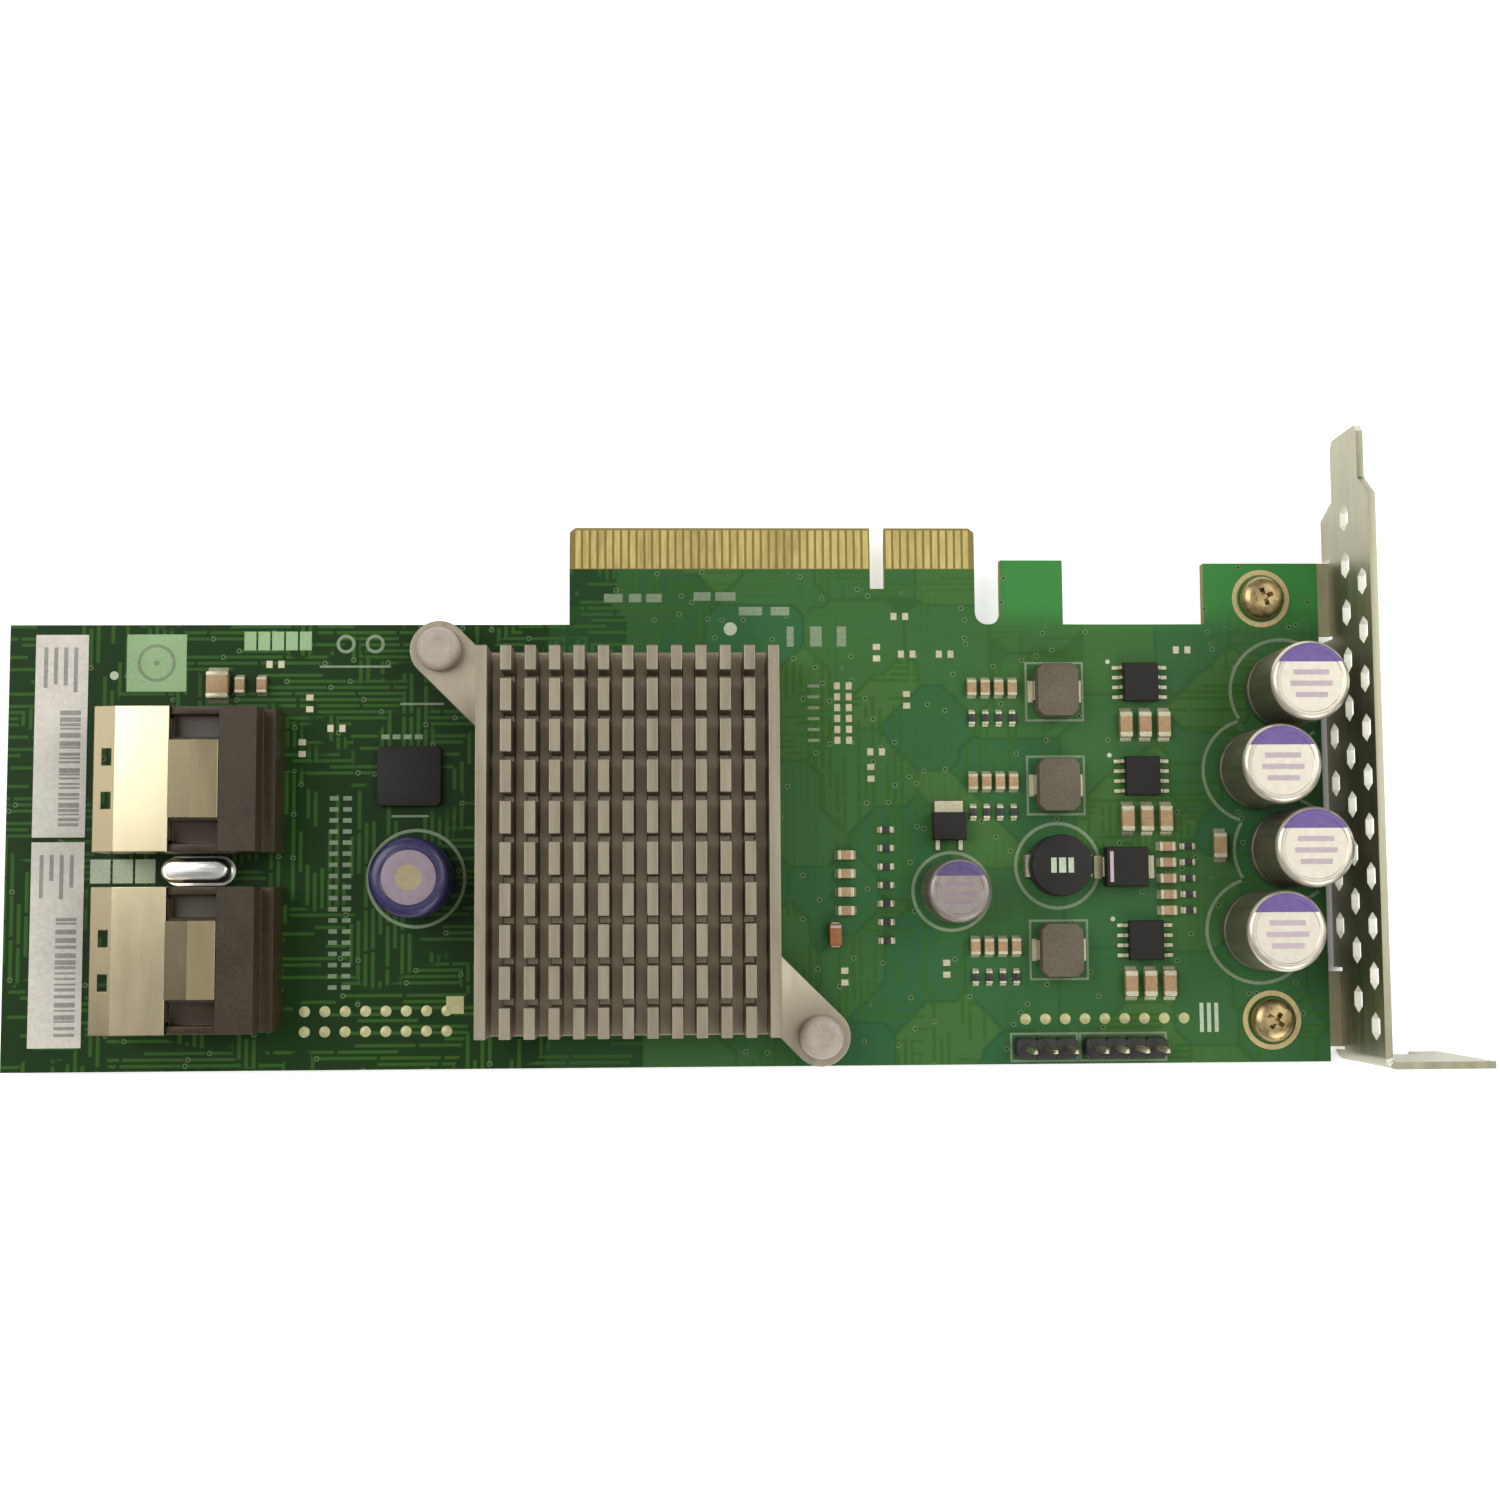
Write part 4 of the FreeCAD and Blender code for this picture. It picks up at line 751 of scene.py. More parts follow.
for letter in "ab":
    node = "port_%s_shell" % letter
    shell = softened(node, node + "_folded", SHELL_EDGE, shell_tin, strap_tin, fold_tin)
    coat_shell(shell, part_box(node)[1].x - STRAP_REACH * MM)
    fit(shell, "shell_metal", node)
    node = "port_%s_housing" % letter
    fit(softened(node, node + "_moulded", HOUSING_EDGE, housing_black), "housing_plastic", node)
    bm = bmesh.new()
    length, width, half = BLADE
    edged_bar(bm, 0, 0, length, width, -half, half, 0.05)
    blade = solid("contact_blade", bm)
    centre = Vector((corners(node)[0].x + CONTACT_INSET, middle(node).y, (SLOT_FLOOR + SLOT_ROOF) / 2))
    fit(grow("port_%s_contacts" % letter, rows_of_pieces, blade, edge_gold, Count=CONTACTS, Rows=2,
             Pitch=CONTACT_PITCH * MM, Row_gap=(SLOT_ROOF - SLOT_FLOOR - BLADE_GAP) * MM,
             Turn=(math.radians(90), 0, math.radians(90)), Centre=centre * MM), "contact_gold")

# Crystal: a drawn nickel-silver can with rounded shoulders, resistance-welded to a flanged base
# whose two leads are soldered through the board.
FLANGE, SHOULDER = 0.36, 0.55
crystal_nickel = grained("crystal_nickel", (196, 196, 190), (240, 240, 235), 1200, (0.12, 0.26), 0.008,
                         stretch=(0.2, 1, 1), metallic=1.0)


def round_ended(x, y, length, width, steps=14):
    """A flat outline with two half-round ends."""
    radius = width / 2
    run = length / 2 - radius
    angles = [math.pi * (i / steps - 0.5) for i in range(steps + 1)]
    right = [(x + run + radius * math.cos(a), y + radius * math.sin(a)) for a in angles]
    left = [(x - run - radius * math.cos(a), y - radius * math.sin(a)) for a in angles]
    return right + left


low, high = corners("crystal")
centre = middle("crystal")
length, width = high.x - low.x, high.y - low.y
layers = [(low.z, 0.05), (low.z + 0.05, 0.0), (low.z + 0.4, 0.0), (low.z + 0.46, 0.06),
          (low.z + 0.48, FLANGE)]
layers += [(high.z - SHOULDER + SHOULDER * math.sin(a), FLANGE + SHOULDER * (1 - math.cos(a)))
           for a in (math.radians(15 * i) for i in range(7))]
bm = bmesh.new()
stack(bm, [(z, round_ended(centre.x, centre.y, length - 2 * inset, width - 2 * inset))
           for z, inset in layers])
fit(solid("crystal_can", bm, crystal_nickel), "crystal_metal", "crystal")

# Bracket: cold-rolled steel, pierced with vents, folded at the tab and the two ears and plated
# bright with nickel. The small walls sheared by the punch are matt, and painted pale as well, a
# painted light that keeps the vents bright where their walls would be in shade.
BRACKET_EDGE, BRACKET_GAP, SHEET, SHEARED_AREA = 0.1, 2.0, 0.9, 2.5
bracket_nickel = grained("bracket_nickel", (150, 147, 124), (174, 171, 147), 800, (0.36, 0.48), 0.003,
                         stretch=(1, 0.15, 1), metallic=1.0)
# Painted light: the vent walls are made pale so the vents read bright.
sheared_steel = grained("sheared_steel", (206, 205, 190), (226, 225, 212), 1800, (0.5, 0.7), 0.01,
                        metallic=0.25)
bracket = softened("bracket", "bracket_folded", BRACKET_EDGE, bracket_nickel, sheared_steel)
sheet_middle = board_high.x + BRACKET_GAP + SHEET / 2
# Small walls through the sheet take the pale painted-light finish.
for face in bracket.data.polygons:
    through = abs(face.center.x / MM - sheet_middle) < SHEET / 4 and abs(face.normal.x) < 0.1
    face.material_index = int(through and face.area < SHEARED_AREA * MM * MM)
fit(bracket, "bracket_steel", "bracket")

# Bracket screws: zinc-plated machine screws with crowned pan heads and cross recesses, driven
# through the board into the tapped ears.
THREAD = 1.45
RECESS_REACH, RECESS_HALF, RECESS_DEEP, RECESS_TAPER, RECESS_TURN = 1.5, 0.3, 1.6, 0.45, 20
screw_zinc = grained("screw_zinc", (156, 135, 92), (191, 172, 129), 1500, (0.24, 0.42), 0.012,
                     metallic=0.95)
low, high = corners("bracket_screws")
head, seat, top = SCREW_HEAD / 2, board_high.z, high.z
bm = bmesh.new()
lathe(bm, 0, 0, [
    (0, low.z), (1.2, low.z), (THREAD, low.z + 0.2), (THREAD, seat), (head - 0.08, seat),
    (head, seat + 0.1), (head, seat + 0.75), (head - 0.12, top - 0.75), (head - 0.45, top - 0.38),
    (head - 1.0, top - 0.12), (head - 1.7, top - 0.02), (0, top)], 48)
screw = solid("pan_head_screw", bm)
bm = bmesh.new()
for turn in (0, 90):
    arm = bmesh.ops.create_cube(bm, size=1.0)["verts"]
    bmesh.ops.scale(bm, verts=arm, vec=(RECESS_REACH * 2, RECESS_HALF * 2, RECESS_DEEP))
    bmesh.ops.translate(bm, verts=arm, vec=(0, 0, top - 0.2))
    for vert in arm:
        if vert.co.z < top - 0.2:
            vert.co.x *= RECESS_TAPER
    spin = Matrix.Rotation(math.radians(turn + RECESS_TURN), 3, "Z")
    bmesh.ops.rotate(bm, verts=arm, cent=(0, 0, 0), matrix=spin)
cross = solid("cross_punch", bm)
recess = screw.modifiers.new("Recess", "BOOLEAN")
recess.operation = "DIFFERENCE"
recess.object = cross
recess.use_self = True
punched = bpy.data.meshes.new_from_object(screw.evaluated_get(bpy.context.evaluated_depsgraph_get()))
screw.modifiers.remove(recess)
screw.data = punched
bpy.data.objects.remove(cross)
fit(grow("bracket_pan_screws", pieces_in_places, screw, screw_zinc, [(screw_x, y, 0) for y in screw_ys],
         turns=[0.0, 0.6]), "screw_steel", "bracket_screws")

# Solid capacitors: drawn aluminium cans crimped round a rubber seal, with a violet segment and
# plain bars printed on the flat top. The small can's top is duller. The walls are painted darker
# than the top, a painted shade.
SEGMENT, GROOVE_SHARE, TOP_DISH = 0.27, 0.18, 0.06
CROWN, WALL_TOP = 0.35, 0.7
TOP_BARS, BAR_SHARE = ((0.2, 0.9), (-0.08, 1.05), (-0.36, 0.8)), 0.13
PRINT_SINK, PRINT_RISE = 0.02, 0.012
ON_SEGMENT, ON_BARS, ON_SHADED_WALL = 1, 2, 3
can_aluminium = grained("can_aluminium", (194, 188, 172), (214, 208, 192), 900, (0.3, 0.42), 0.006,
                        metallic=0.8)
# Painted shade: the can's aluminium made darker for its walls.
can_wall = grained("can_wall", (116, 109, 94), (144, 137, 121), 900, (0.36, 0.5), 0.004,
                   stretch=(1, 1, 0.1), metallic=0.8)
violet_ink = grained("violet_ink", (92, 72, 132), (108, 88, 150), 1800, (0.4, 0.6), 0.006)
faded_ink = grained("faded_ink", (172, 156, 166), (188, 172, 178), 2000, (0.4, 0.6), 0.004)
dull_aluminium = grained("dull_aluminium", (136, 129, 122), (156, 149, 141), 900, (0.36, 0.5), 0.006,
                         metallic=0.7)
dull_violet = grained("dull_violet", (74, 59, 104), (88, 72, 120), 1800, (0.4, 0.6), 0.006)
dull_ink = grained("dull_ink", (132, 114, 124), (146, 128, 136), 2000, (0.4, 0.6), 0.004)
tops = dict.fromkeys(["capacitor_%d" % i for i in (1, 2, 3, 4)], (can_aluminium, violet_ink, faded_ink))
tops["capacitor_small"] = (dull_aluminium, dull_violet, dull_ink)


def lowest(face):
    """The height of a face's lowest corner."""
    return min(vert.co.z for vert in face.verts)


def can(low, high):
    """A crimped can with its top's print, from its box."""
    centre = (low + high) / 2
    r = (high.x - low.x) / 2
    foot, top = low.z, high.z
    groove = foot + GROOVE_SHARE * (top - foot)
    dish = top - TOP_DISH
    bm = bmesh.new()
    lathe(bm, centre.x, centre.y, [
        (0, foot), (r - 0.7, foot), (r - 0.25, foot + 0.2), (r - 0.05, foot + 0.5), (r, foot + 0.8),
        (r, groove - 0.4), (r - 0.1, groove - 0.28), (r - 0.3, groove - 0.1), (r - 0.34, groove),
        (r - 0.3, groove + 0.1), (r - 0.1, groove + 0.28), (r, groove + 0.4), (r, top - 0.9),
        (r - 0.05, top - 0.62), (r - 0.18, top - 0.35), (r - 0.38, top - 0.14), (r - 0.62, top - 0.02),
        (r - 0.8, top), (r - 1.0, top), (r - 1.08, dish), (0, dish)], 72)
    for face in bm.faces:
        # Faces below the top take the darker wall finish, a painted shade.
        if lowest(face) < top - WALL_TOP:
            face.material_index = ON_SHADED_WALL
    chord = centre.y + r - SEGMENT * 2 * r
    crown = [face for face in bm.faces if lowest(face) > top - CROWN]
    cut = set(crown) | {e for f in crown for e in f.edges} | {v for f in crown for v in f.verts}
    bmesh.ops.bisect_plane(bm, geom=list(cut), plane_co=(centre.x, chord, 0), plane_no=(0, 1, 0))
    for face in bm.faces:
        if lowest(face) > top - CROWN and face.calc_center_median().y > chord:
            face.material_index = ON_SEGMENT
    for share, span in TOP_BARS:
        bar(bm, centre.x, centre.y + share * r, span * r, BAR_SHARE * r, dish - PRINT_SINK,
            dish + PRINT_RISE, coat=ON_BARS)
    return bm


for node, finishes in tops.items():
    fit(solid(node + "_can", can(*corners(node)), *finishes, can_wall), "can_aluminium", node)

# Sleeved capacitor: a round part with a pale flat top and a cream centre, in a shrunk dark violet
# sleeve that curls broadly over the rim.
TOP_RADIUS, CREAM_RADIUS = 3.45, 1.7
sleeve_violet = grained("sleeve_violet", (30, 24, 62), (46, 38, 88), 1500, (0.3, 0.45), 0.01,
                        coat_weight=0.2)
pale_top = grained("pale_top", (127, 113, 123), (139, 125, 135), 1200, (0.4, 0.6), 0.006)
cream_top = grained("cream_top", (143, 129, 93), (155, 143, 109), 1200, (0.4, 0.6), 0.006)
low, high = corners("sleeved_capacitor")
centre = middle("sleeved_capacitor")
r = (high.x - low.x) / 2
foot, top = low.z, high.z
bm = bmesh.new()
lathe(bm, centre.x, centre.y, [
    (0, foot), (r - 0.6, foot), (r - 0.1, foot + 0.25), (r, foot + 0.6), (r, foot + 1.2),
    (r - 0.22, foot + 1.55), (r, foot + 1.9), (r, top - 0.95), (r - 0.1, top - 0.6), (r - 0.35, top - 0.28),
    (r - 0.75, top - 0.07), (r - 1.15, top), (TOP_RADIUS + 0.12, top), (TOP_RADIUS, top - 0.08),
    (TOP_RADIUS, top - 0.3), (0, top - 0.3)], 64)
fit(solid("capacitor_sleeve", bm, sleeve_violet), "sleeve_violet", "sleeved_capacitor")
bm = bmesh.new()
lathe(bm, centre.x, centre.y, [
    (0, top - 0.32), (TOP_RADIUS - 0.05, top - 0.32), (TOP_RADIUS - 0.05, top - 0.16),
    (TOP_RADIUS - 0.2, top - 0.1), (CREAM_RADIUS, top - 0.1), (CREAM_RADIUS - 0.12, top - 0.14),
    (0, top - 0.14)], 56)
for face in bm.faces:
    widest = max((vert.co.xy - centre.xy).length for vert in face.verts)
    if widest < CREAM_RADIUS - 0.1 and face.verts[0].co.z > top - 0.2:
        face.material_index = 1
fit(solid("sleeved_capacitor_top", bm, pale_top, cream_top), "can_aluminium")

# Moulded inductors: pressed iron-powder blocks with chamfered corners round a coil, whose tinned
# straps bend under two sides and are soldered to the board.
STRAP_THICK, STRAP_WIDTH, STRAP_HEIGHT = 0.3, 2.6, 1.4
FOOT_SINK, FOOT_RISE = 0.01, 0.06
inductor_grey = grained("inductor_grey", (77, 69, 54), (101, 93, 73), 2600, (0.55, 0.75), 0.03)


def chamfered(bm, x, y, length, width, cut, layers):
    """A block with its upright corners cut, drawn in by an inset at each height."""
    rims = []
    for z, inset in layers:
        a, b = length / 2 - inset, width / 2 - inset
        rims.append((z, [
            (x - a + cut, y - b), (x + a - cut, y - b), (x + a, y - b + cut), (x + a, y + b - cut),
            (x + a - cut, y + b), (x - a + cut, y + b), (x - a, y + b - cut), (x - a, y - b + cut)]))
    stack(bm, rims)


for node in ("inductor_1", "inductor_2", "inductor_3"):
    low, high = corners(node)
    x, y, z = middle(node).x, middle(node).y, low.z
    length, width = high.x - low.x - 2 * STRAP_THICK, high.y - low.y
    bm = bmesh.new()
    chamfered(bm, x, y, length, width, 0.8, (
        (z, 0.12), (z + 0.12, 0.0), (high.z - 0.28, 0.0), (high.z - 0.1, 0.07), (high.z, 0.25)))
    for side in (1, -1):
        edged_bar(bm, x + side * (length + STRAP_THICK) / 2, y, STRAP_THICK, STRAP_WIDTH, z,
                  z + STRAP_HEIGHT, 0.06, coat=1)
        bar(bm, x + side * (length / 2 + 0.45), y, 0.7, 2.8, z - FOOT_SINK, z + FOOT_RISE, coat=1)
    fit(solid(node + "_moulding", bm, inductor_grey, solder), "inductor_grey", node)

# Power switches: eight-lead moulded packages with drafted sides, a pin-one dimple and gull-wing
# leads of tinned copper.
LEAD_PITCH, LEAD_REACH, LEAD_HALF = 1.27, 1.25, 0.22
BODY_LIFT, DIMPLE_RISE = 0.15, 0.004
GULL_WING = ((-0.12, 0.66), (0.3, 0.66), (0.55, 0.2), (LEAD_REACH, 0.2), (LEAD_REACH, 0.0), (0.45, 0.0),
             (0.2, 0.46), (-0.12, 0.46))


def moulding(bm, low, high, draft, edge):
    """A moulded block with drafted sides and softened edges."""
    x, y, waist = (low + high) / 2
    length, width = high.x - low.x, high.y - low.y
    faces = stack(bm, [(z, rectangle(x, y, length - 2 * inset, width - 2 * inset)) for z, inset in (
        (low.z, draft), (waist, 0.0), (high.z, draft))])
    edges = list({e for face in faces for e in face.edges})
    bmesh.ops.bevel(bm, geom=edges, offset=edge, segments=2, affect="EDGES", profile=0.6)


def dimple(bm, x, y, z, inner, outer):
    """A shallow moulded ring that marks the first pin."""
    low, high = z - PRINT_SINK, z + DIMPLE_RISE
    lathe(bm, x, y, [(inner, low), (outer, low), (outer, high), (inner, high)], 24, ring=True)


leads, lead_turns = [], []
for node in ("power_switch_1", "power_switch_2", "power_switch_3"):
    low, high = corners(node)
    body_low, body_high = low + Vector((LEAD_REACH, 0, BODY_LIFT)), high - Vector((LEAD_REACH, 0, 0))
    bm = bmesh.new()
    moulding(bm, body_low, body_high, 0.12, 0.06)
    dimple(bm, body_low.x + 0.75, body_high.y - 0.75, high.z, 0.34, 0.4)
    fit(solid(node + "_body", bm, package_black), "package_black", node)
    for i in range(4):
        for x, turn in ((body_high.x, 0.0), (body_low.x, math.pi)):
            leads.append((x, middle(node).y + LEAD_PITCH * (i - 1.5), low.z))
            lead_turns.append(turn)
bm = bmesh.new()
stack(bm, [(z, GULL_WING) for z in (-LEAD_HALF, LEAD_HALF)])
bmesh.ops.rotate(bm, verts=bm.verts, cent=(0, 0, 0), matrix=Matrix.Rotation(math.radians(90), 3, "X"))
lead = solid("gull_wing_lead", bm)
fit(grow("power_switch_leads", pieces_in_places, lead, solder, leads, lead_turns), "pin_metal")

# Drum choke: a black ferrite drum with a wound waist, glued on two tinned feet that are soldered
# to the board, with plain pale bars printed on its top.
CHOKE_FOOT, CHOKE_FOOT_WIDTH, CHOKE_RIM, WAIST = 0.9, 3.0, 0.8, 0.3
CHOKE_BARS = ((-1.1, 0.7), (0.0, 0.9), (1.1, 0.7))
choke_ferrite = grained("choke_ferrite", (20, 18, 16), (34, 31, 27), 2600, (0.45, 0.65), 0.02,
                        specular_ior_level=0.3)
low, high = corners("choke")
x, y, foot, top = middle("choke").x, middle("choke").y, low.z, high.z
r = (high.y - low.y) / 2
bm = bmesh.new()
lathe(bm, x, y, [
    (0, foot), (r - 0.15, foot), (r, foot + 0.15), (r, foot + CHOKE_RIM), (r - WAIST, foot + 0.95),
    (r - WAIST, top - 0.95), (r, top - CHOKE_RIM), (r, top - 0.2), (r - 0.08, top - 0.06), (r - 0.22, top),
    (0, top)], 60)
for side in (1, -1):
    edged_bar(bm, x + side * (high.x - low.x - CHOKE_FOOT) / 2, y, CHOKE_FOOT, CHOKE_FOOT_WIDTH, foot,
              foot + CHOKE_RIM, 0.08, coat=1)
for shift, length in CHOKE_BARS:
    bar(bm, x + shift, y, length, 1.9, top - PRINT_SINK, top + PRINT_RISE, coat=2)
fit(solid("choke_drum", bm, choke_ferrite, solder, white_ink), "choke_black", "choke")

# Rectifier, regulator and memory: black epoxy mouldings on tinned terminals, a copper tab and
# flat lands. Their tops are left plain but for a stripe and a dimple.
TERMINAL, TAB, LEG, TAB_THICK = 0.32, 1.7, 1.5, 0.4
low, high = corners("rectifier")
y, z = middle("rectifier").y, low.z
bm = bmesh.new()
moulding(bm, low + Vector((0.3, 0, BODY_LIFT)), high - Vector((0.3, 0, 0)), 0.14, 0.08)
for x, side in ((low.x, 1), (high.x, -1)):
    edged_bar(bm, x + side * TERMINAL / 2, y, TERMINAL, STRAP_WIDTH, z, z + STRAP_HEIGHT, 0.06, coat=1)
    bar(bm, x - side * 0.25, y, 1.0, 2.9, z - FOOT_SINK, z + FOOT_RISE, coat=1)
bar(bm, low.x + 1.05, y, 0.45, 3.9, high.z - PRINT_SINK, high.z + PRINT_RISE, coat=2)
fit(solid("rectifier_body", bm, package_black, solder, faded_ink), "package_black", "rectifier")

low, high = corners("regulator")
x, z, width = middle("regulator").x, low.z, high.x - low.x
bm = bmesh.new()
moulding(bm, low + Vector((0, 1.3, 0.05)), high - Vector((0, 1.5, 0)), 0.12, 0.08)
edged_bar(bm, x, high.y - TAB / 2, width - 0.65, TAB, z, z + TAB_THICK, 0.06, coat=1)
for side in (1, -1):
    edged_bar(bm, x + side * width / 3, low.y + LEG / 2, 0.65, LEG, z, z + TAB_THICK, 0.06, coat=1)
fit(solid("regulator_body", bm, package_black, solder), "package_black", "regulator")

low, high = corners("memory_chip")
centre = middle("memory_chip")
bm = bmesh.new()
chamfered(bm, centre.x, centre.y, high.x - low.x, high.y - low.y, 0.5, (
    (low.z, 0.06), (low.z + 0.08, 0.0), (high.z - 0.14, 0.02), (high.z - 0.03, 0.06), (high.z, 0.14)))
dimple(bm, low.x + 1.3, low.y + 1.3, high.z, 0.4, 0.48)
fit(solid("memory_package", bm, package_black), "package_black", "memory_chip")

# Tantalum capacitor: a brown epoxy block with a paler stripe over its positive end, moulded on
# tinned end straps that are soldered to the board.
END_STRAP = 0.24
tantalum_brown = grained("tantalum_brown", (126, 74, 34), (168, 108, 56), 2600, (0.4, 0.6), 0.02)
low, high = corners("tantalum")
x, z = middle("tantalum").x, low.z
bm = bmesh.new()
moulding(bm, low + Vector((0, 0.2, 0.06)), high - Vector((0, 0.2, 0)), 0.08, 0.06)
for end_y, side in ((low.y, 1), (high.y, -1)):
    edged_bar(bm, x, end_y + side * END_STRAP / 2, 1.1, END_STRAP, z, z + 0.8, 0.05, coat=1)
bar(bm, x, high.y - 0.6, 1.35, 0.3, high.z - PRINT_SINK, high.z + PRINT_RISE, coat=2)
fit(solid("tantalum_body", bm, tantalum_brown, solder, faded_ink), "tantalum_brown", "tantalum")

# Pin headers: black moulded strips, notched between places, on square tinned pins with pointed
# ends that are soldered through the board.
PIN, PIN_POINT, POINT_LENGTH, HEADER_EDGE = 0.64, 0.3, 0.45, 0.12
header_nylon = grained("header_nylon", (24, 23, 22), (42, 40, 38), 3200, (0.42, 0.6), 0.02)
pin_tin = grained("pin_tin", (176, 166, 140), (224, 214, 188), 1600, (0.22, 0.4), 0.01,
                  stretch=(1, 1, 0.1), metallic=0.95)
pin_top = corners("header_pins")[1].z
for node, count in HEADERS.items():
    low, high = corners(node)
    y, depth = middle(node).y, high.y - low.y
    bm = bmesh.new()
    for i in range(count):
        x = low.x + PITCH * (i + 0.5)
        chamfered(bm, x, y, PITCH, depth, 0.4, (
            (low.z, 0.0), (high.z - HEADER_EDGE, 0.0), (high.z, HEADER_EDGE)))
    fit(solid(node + "_block", bm, header_nylon), "header_black", node)
    length = pin_top - low.z
    bm = bmesh.new()
    stack(bm, [(z, rectangle(0, 0, wide, wide)) for z, wide in (
        (0.1, PIN), (length - POINT_LENGTH, PIN), (length, PIN_POINT))])
    pin = solid("square_pin", bm)
    centre = Vector((middle(node).x, y, low.z))
    fit(grow(node + "_pins", rows_of_pieces, pin, pin_tin, Count=count, Rows=1, Pitch=PITCH * MM,
             Centre=centre * MM), "pin_metal", "header_pins")

# Small two-ended parts: tan ceramic capacitors and black-topped resistors with tinned end caps
# and solder climbing up each end. Their places are read from the CAD solids.
BODY_SHARE, CAP_SHARE, CHIP_EDGE = (0.66, 0.98, 0.98), (0.2, 1.0, 1.0), 0.05
FILLET, FILLET_HALF = ((0.49, -0.5), (0.68, -0.5), (0.66, -0.42), (0.55, -0.2), (0.49, 0.25)), 0.46
chip_tan = grained("chip_tan", (142, 112, 78), (182, 152, 112), 3400, (0.4, 0.6), 0.015)
chip_black = grained("chip_black", (24, 24, 26), (44, 44, 46), 3400, (0.3, 0.5), 0.01)


def solids_of(node):
    """The box of each separate solid in a CAD node, in millimetres."""
    bm = bmesh.new()
    bm.from_mesh(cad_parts[node].data)
    bmesh.ops.remove_doubles(bm, verts=bm.verts, dist=SAME_POINT * MM)
    left = set(bm.verts)
    boxes = []
    while left:
        front = [left.pop()]
        found = list(front)
        while front:
            for edge in front.pop().link_edges:
                for vert in edge.verts:
                    if vert in left:
                        left.remove(vert)
                        front.append(vert)
                        found.append(vert)
        axes = list(zip(*(vert.co / MM for vert in found)))
        boxes.append((Vector(map(min, axes)), Vector(map(max, axes))))
    bm.free()
    return sorted(boxes, key=lambda box: tuple(box[0]))


def unit_body():
    """The ceramic between the end caps, one unit long, wide and high."""
    bm = bmesh.new()
    bmesh.ops.create_cube(bm, size=1.0)
    bmesh.ops.scale(bm, verts=bm.verts, vec=BODY_SHARE)
    bmesh.ops.bevel(bm, geom=bm.edges[:], offset=CHIP_EDGE, segments=1, affect="EDGES")
    return solid("chip_body", bm)


def unit_ends():
    """Two end caps with their solder, one unit apart."""
    bm = bmesh.new()
    for side in (1, -1):
        cap = bmesh.ops.create_cube(bm, size=1.0)["verts"]
        bmesh.ops.scale(bm, verts=cap, vec=CAP_SHARE)
        bmesh.ops.translate(bm, verts=cap, vec=((0.5 - CAP_SHARE[0] / 2) * side, 0, 0))
        edges = list({edge for vert in cap for edge in vert.link_edges})
        bmesh.ops.bevel(bm, geom=edges, offset=CHIP_EDGE, segments=1, affect="EDGES")
        rims = [[bm.verts.new((x * side, y, z)) for x, z in FILLET] for y in (-FILLET_HALF, FILLET_HALF)]
        bm.faces.new(rims[0])
        bm.faces.new(rims[1][::-1])
        for i in range(len(FILLET)):
            j = (i + 1) % len(FILLET)
            bm.faces.new((rims[0][i], rims[0][j], rims[1][j], rims[1][i]))
    return solid("chip_ends", bm)


for node, ceramic, slot in (("chip_capacitors", chip_tan, "chip_tan"),
                            ("chip_resistors", chip_black, "chip_black")):
    spots, turns, sizes = [], [], []
    for low, high in solids_of(node):
        length, width, height = high - low
        spots.append((low + high) / 2)
        turns.append(math.radians(90) if width > length else 0.0)
        sizes.append((max(length, width), min(length, width), height))
    fit(grow(node + "_bodies", pieces_in_places, unit_body(), ceramic, spots, turns, sizes), slot, node)
    fit(grow(node + "_ends", pieces_in_places, unit_ends(), solder, spots, turns, sizes), "pin_metal")

# Labels: white coated paper stuck along the tail with its own gum, printed with plain grey bars
# and lines of chance lengths.
BAR_WIDTHS, BAR_GAPS, BAR_LENGTH, BARS_IN = (0.25, 0.4, 0.6), (0.25, 0.45), 2.6, 2.1
LINE_LENGTHS, LINE_WIDTH, LINE_GAP, LINES_IN = (3.0, 6.5), 0.5, 1.25, 1.3
MARGIN, LINES_ROOM = 1.6, 9.5
label_paper = grained("label_paper", (192, 187, 176), (214, 209, 198), 1800, (0.6, 0.8), 0.012)
label_grey = grained("label_grey", (128, 124, 120), (156, 152, 146), 2400, (0.6, 0.8), 0.004)
dice = random.Random(7)
for node in ("label_upper", "label_lower"):
    dress(node, label_paper)
    low, high = corners(node)
    printed = (high.z - PRINT_SINK, high.z + PRINT_RISE)
    bm = bmesh.new()
    y = low.y + MARGIN
    while y < high.y - LINES_ROOM:
        width = dice.choice(BAR_WIDTHS)
        bar(bm, high.x - BARS_IN, y, BAR_LENGTH, width, *printed)
        y += width + dice.choice(BAR_GAPS)
    for row in range(4):
        length = dice.uniform(*LINE_LENGTHS)
        x = low.x + LINES_IN + row * LINE_GAP
        bar(bm, x, high.y - MARGIN - length / 2, LINE_WIDTH, length, *printed)
    fit(solid(node + "_print", bm, label_grey), "label_paper")

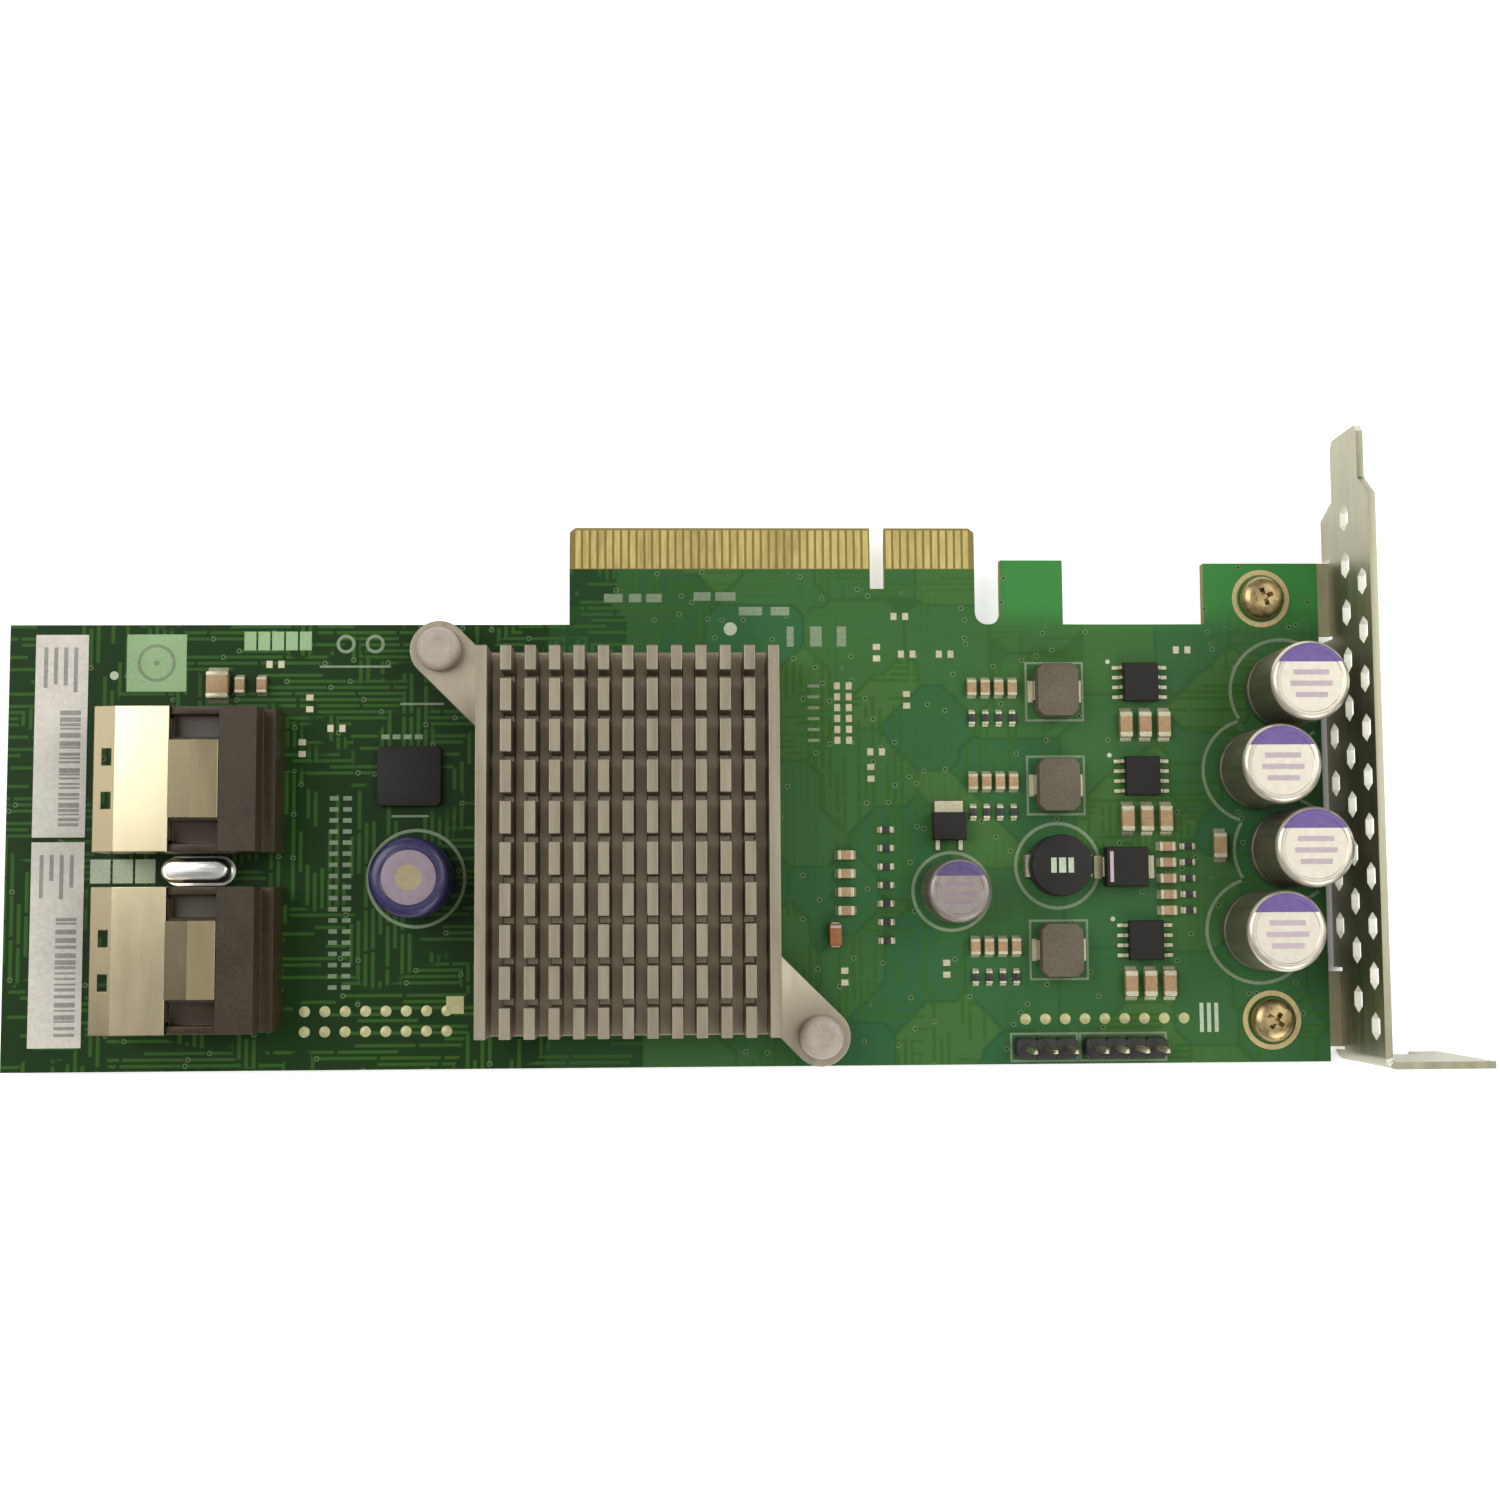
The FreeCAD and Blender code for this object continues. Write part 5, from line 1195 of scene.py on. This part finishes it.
# Studio: a white light table for a floor, unlit under the card, broad soft lamps round it, three
# small soft boxes overhead that shine in the upper port, the cans and the heat sink, and a camera
# almost straight above.
FLOOR_HALF, TABLE_LIGHT, LIGHT_EDGE = 3.0, 0.55, 2.0
UNLIT = (("X", -5.5, 84.5), ("Y", -12.0, 27.0))
FLOOR_DARK, FLOOR_PALE = (0.9, 0.9, 0.9, 1), (0.93, 0.93, 0.93, 1)
ROOM_COLOUR, ROOM_LIGHT = (1.0, 0.985, 0.96, 1), 0.36
LAMPS = (("lamp_left", (-0.7, 0.3, 0.75), 0.7, 5.5),
         ("lamp_right", (0.75, 0.35, 0.7), 0.7, 5.0),
         ("lamp_front", (0.42, -0.75, 0.6), 0.6, 3.8),
         ("box_over_ports", (-0.334, 0.112, 0.8), 0.145, 0.4),
         ("box_over_cans", (0.31, 0.03, 0.8), 0.24, 0.4),
         ("box_over_sink", (0.04, -0.1, 0.8), 0.3, 0.16))
CAMERA_PLACE, CAMERA_TURN, FOCAL_LENGTH = (-7.342, -21.378, 261.39), (4.765, -2.0815, -0.3522), 48.52
floor_white, tree, shader = finish("floor_white", roughness=0.9, emission_color=(1.0, 1.0, 1.0, 1.0))
where = put(tree, "ShaderNodeTexCoord").outputs["Object"]
cloud = put(tree, "ShaderNodeTexNoise", {"Vector": where, "Scale": 4.0}).outputs["Fac"]
tree.links.new(tint(tree, cloud, FLOOR_DARK, FLOOR_PALE), shader["Base Color"])
axes = put(tree, "ShaderNodeSeparateXYZ", {"Vector": where}).outputs
beyond = []
for axis, centre, half in UNLIT:
    distance = work(tree, "ABSOLUTE", work(tree, "SUBTRACT", axes[axis], centre * MM))
    beyond.append(ramp(tree, distance, (half - LIGHT_EDGE) * MM, (half + LIGHT_EDGE) * MM))
lit = work(tree, "MAXIMUM", *beyond)
tree.links.new(work(tree, "MULTIPLY", lit, TABLE_LIGHT), shader["Emission Strength"])
bm = bmesh.new()
bmesh.ops.create_grid(bm, x_segments=8, y_segments=8, size=FLOOR_HALF)
mesh = bpy.data.meshes.new("floor")
bm.to_mesh(mesh)
bm.free()
mesh.materials.append(floor_white)
stand("floor", mesh)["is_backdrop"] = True

world = bpy.data.worlds.new("white_room")
bpy.context.scene.world = world
world.use_nodes = True
room = world.node_tree.nodes["Background"].inputs
room["Color"].default_value = ROOM_COLOUR
room["Strength"].default_value = ROOM_LIGHT
for name, place, size, power in LAMPS:
    lamp = bpy.data.lights.new(name, "AREA")
    lamp.size = size
    lamp.energy = power
    holder = stand(name, lamp)
    holder.location = place
    holder.rotation_euler = (-Vector(place)).to_track_quat("-Z", "Y").to_euler()

lens = bpy.data.cameras.new("camera")
lens.sensor_width = 36.0
lens.lens = FOCAL_LENGTH
lens.clip_start = 0.01
camera = stand("camera", lens)
camera.location = Vector(CAMERA_PLACE) * MM
camera.rotation_euler = [math.radians(angle) for angle in CAMERA_TURN]
bpy.context.scene.camera = camera
bpy.context.scene.view_settings.view_transform = "Standard"

low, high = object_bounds()
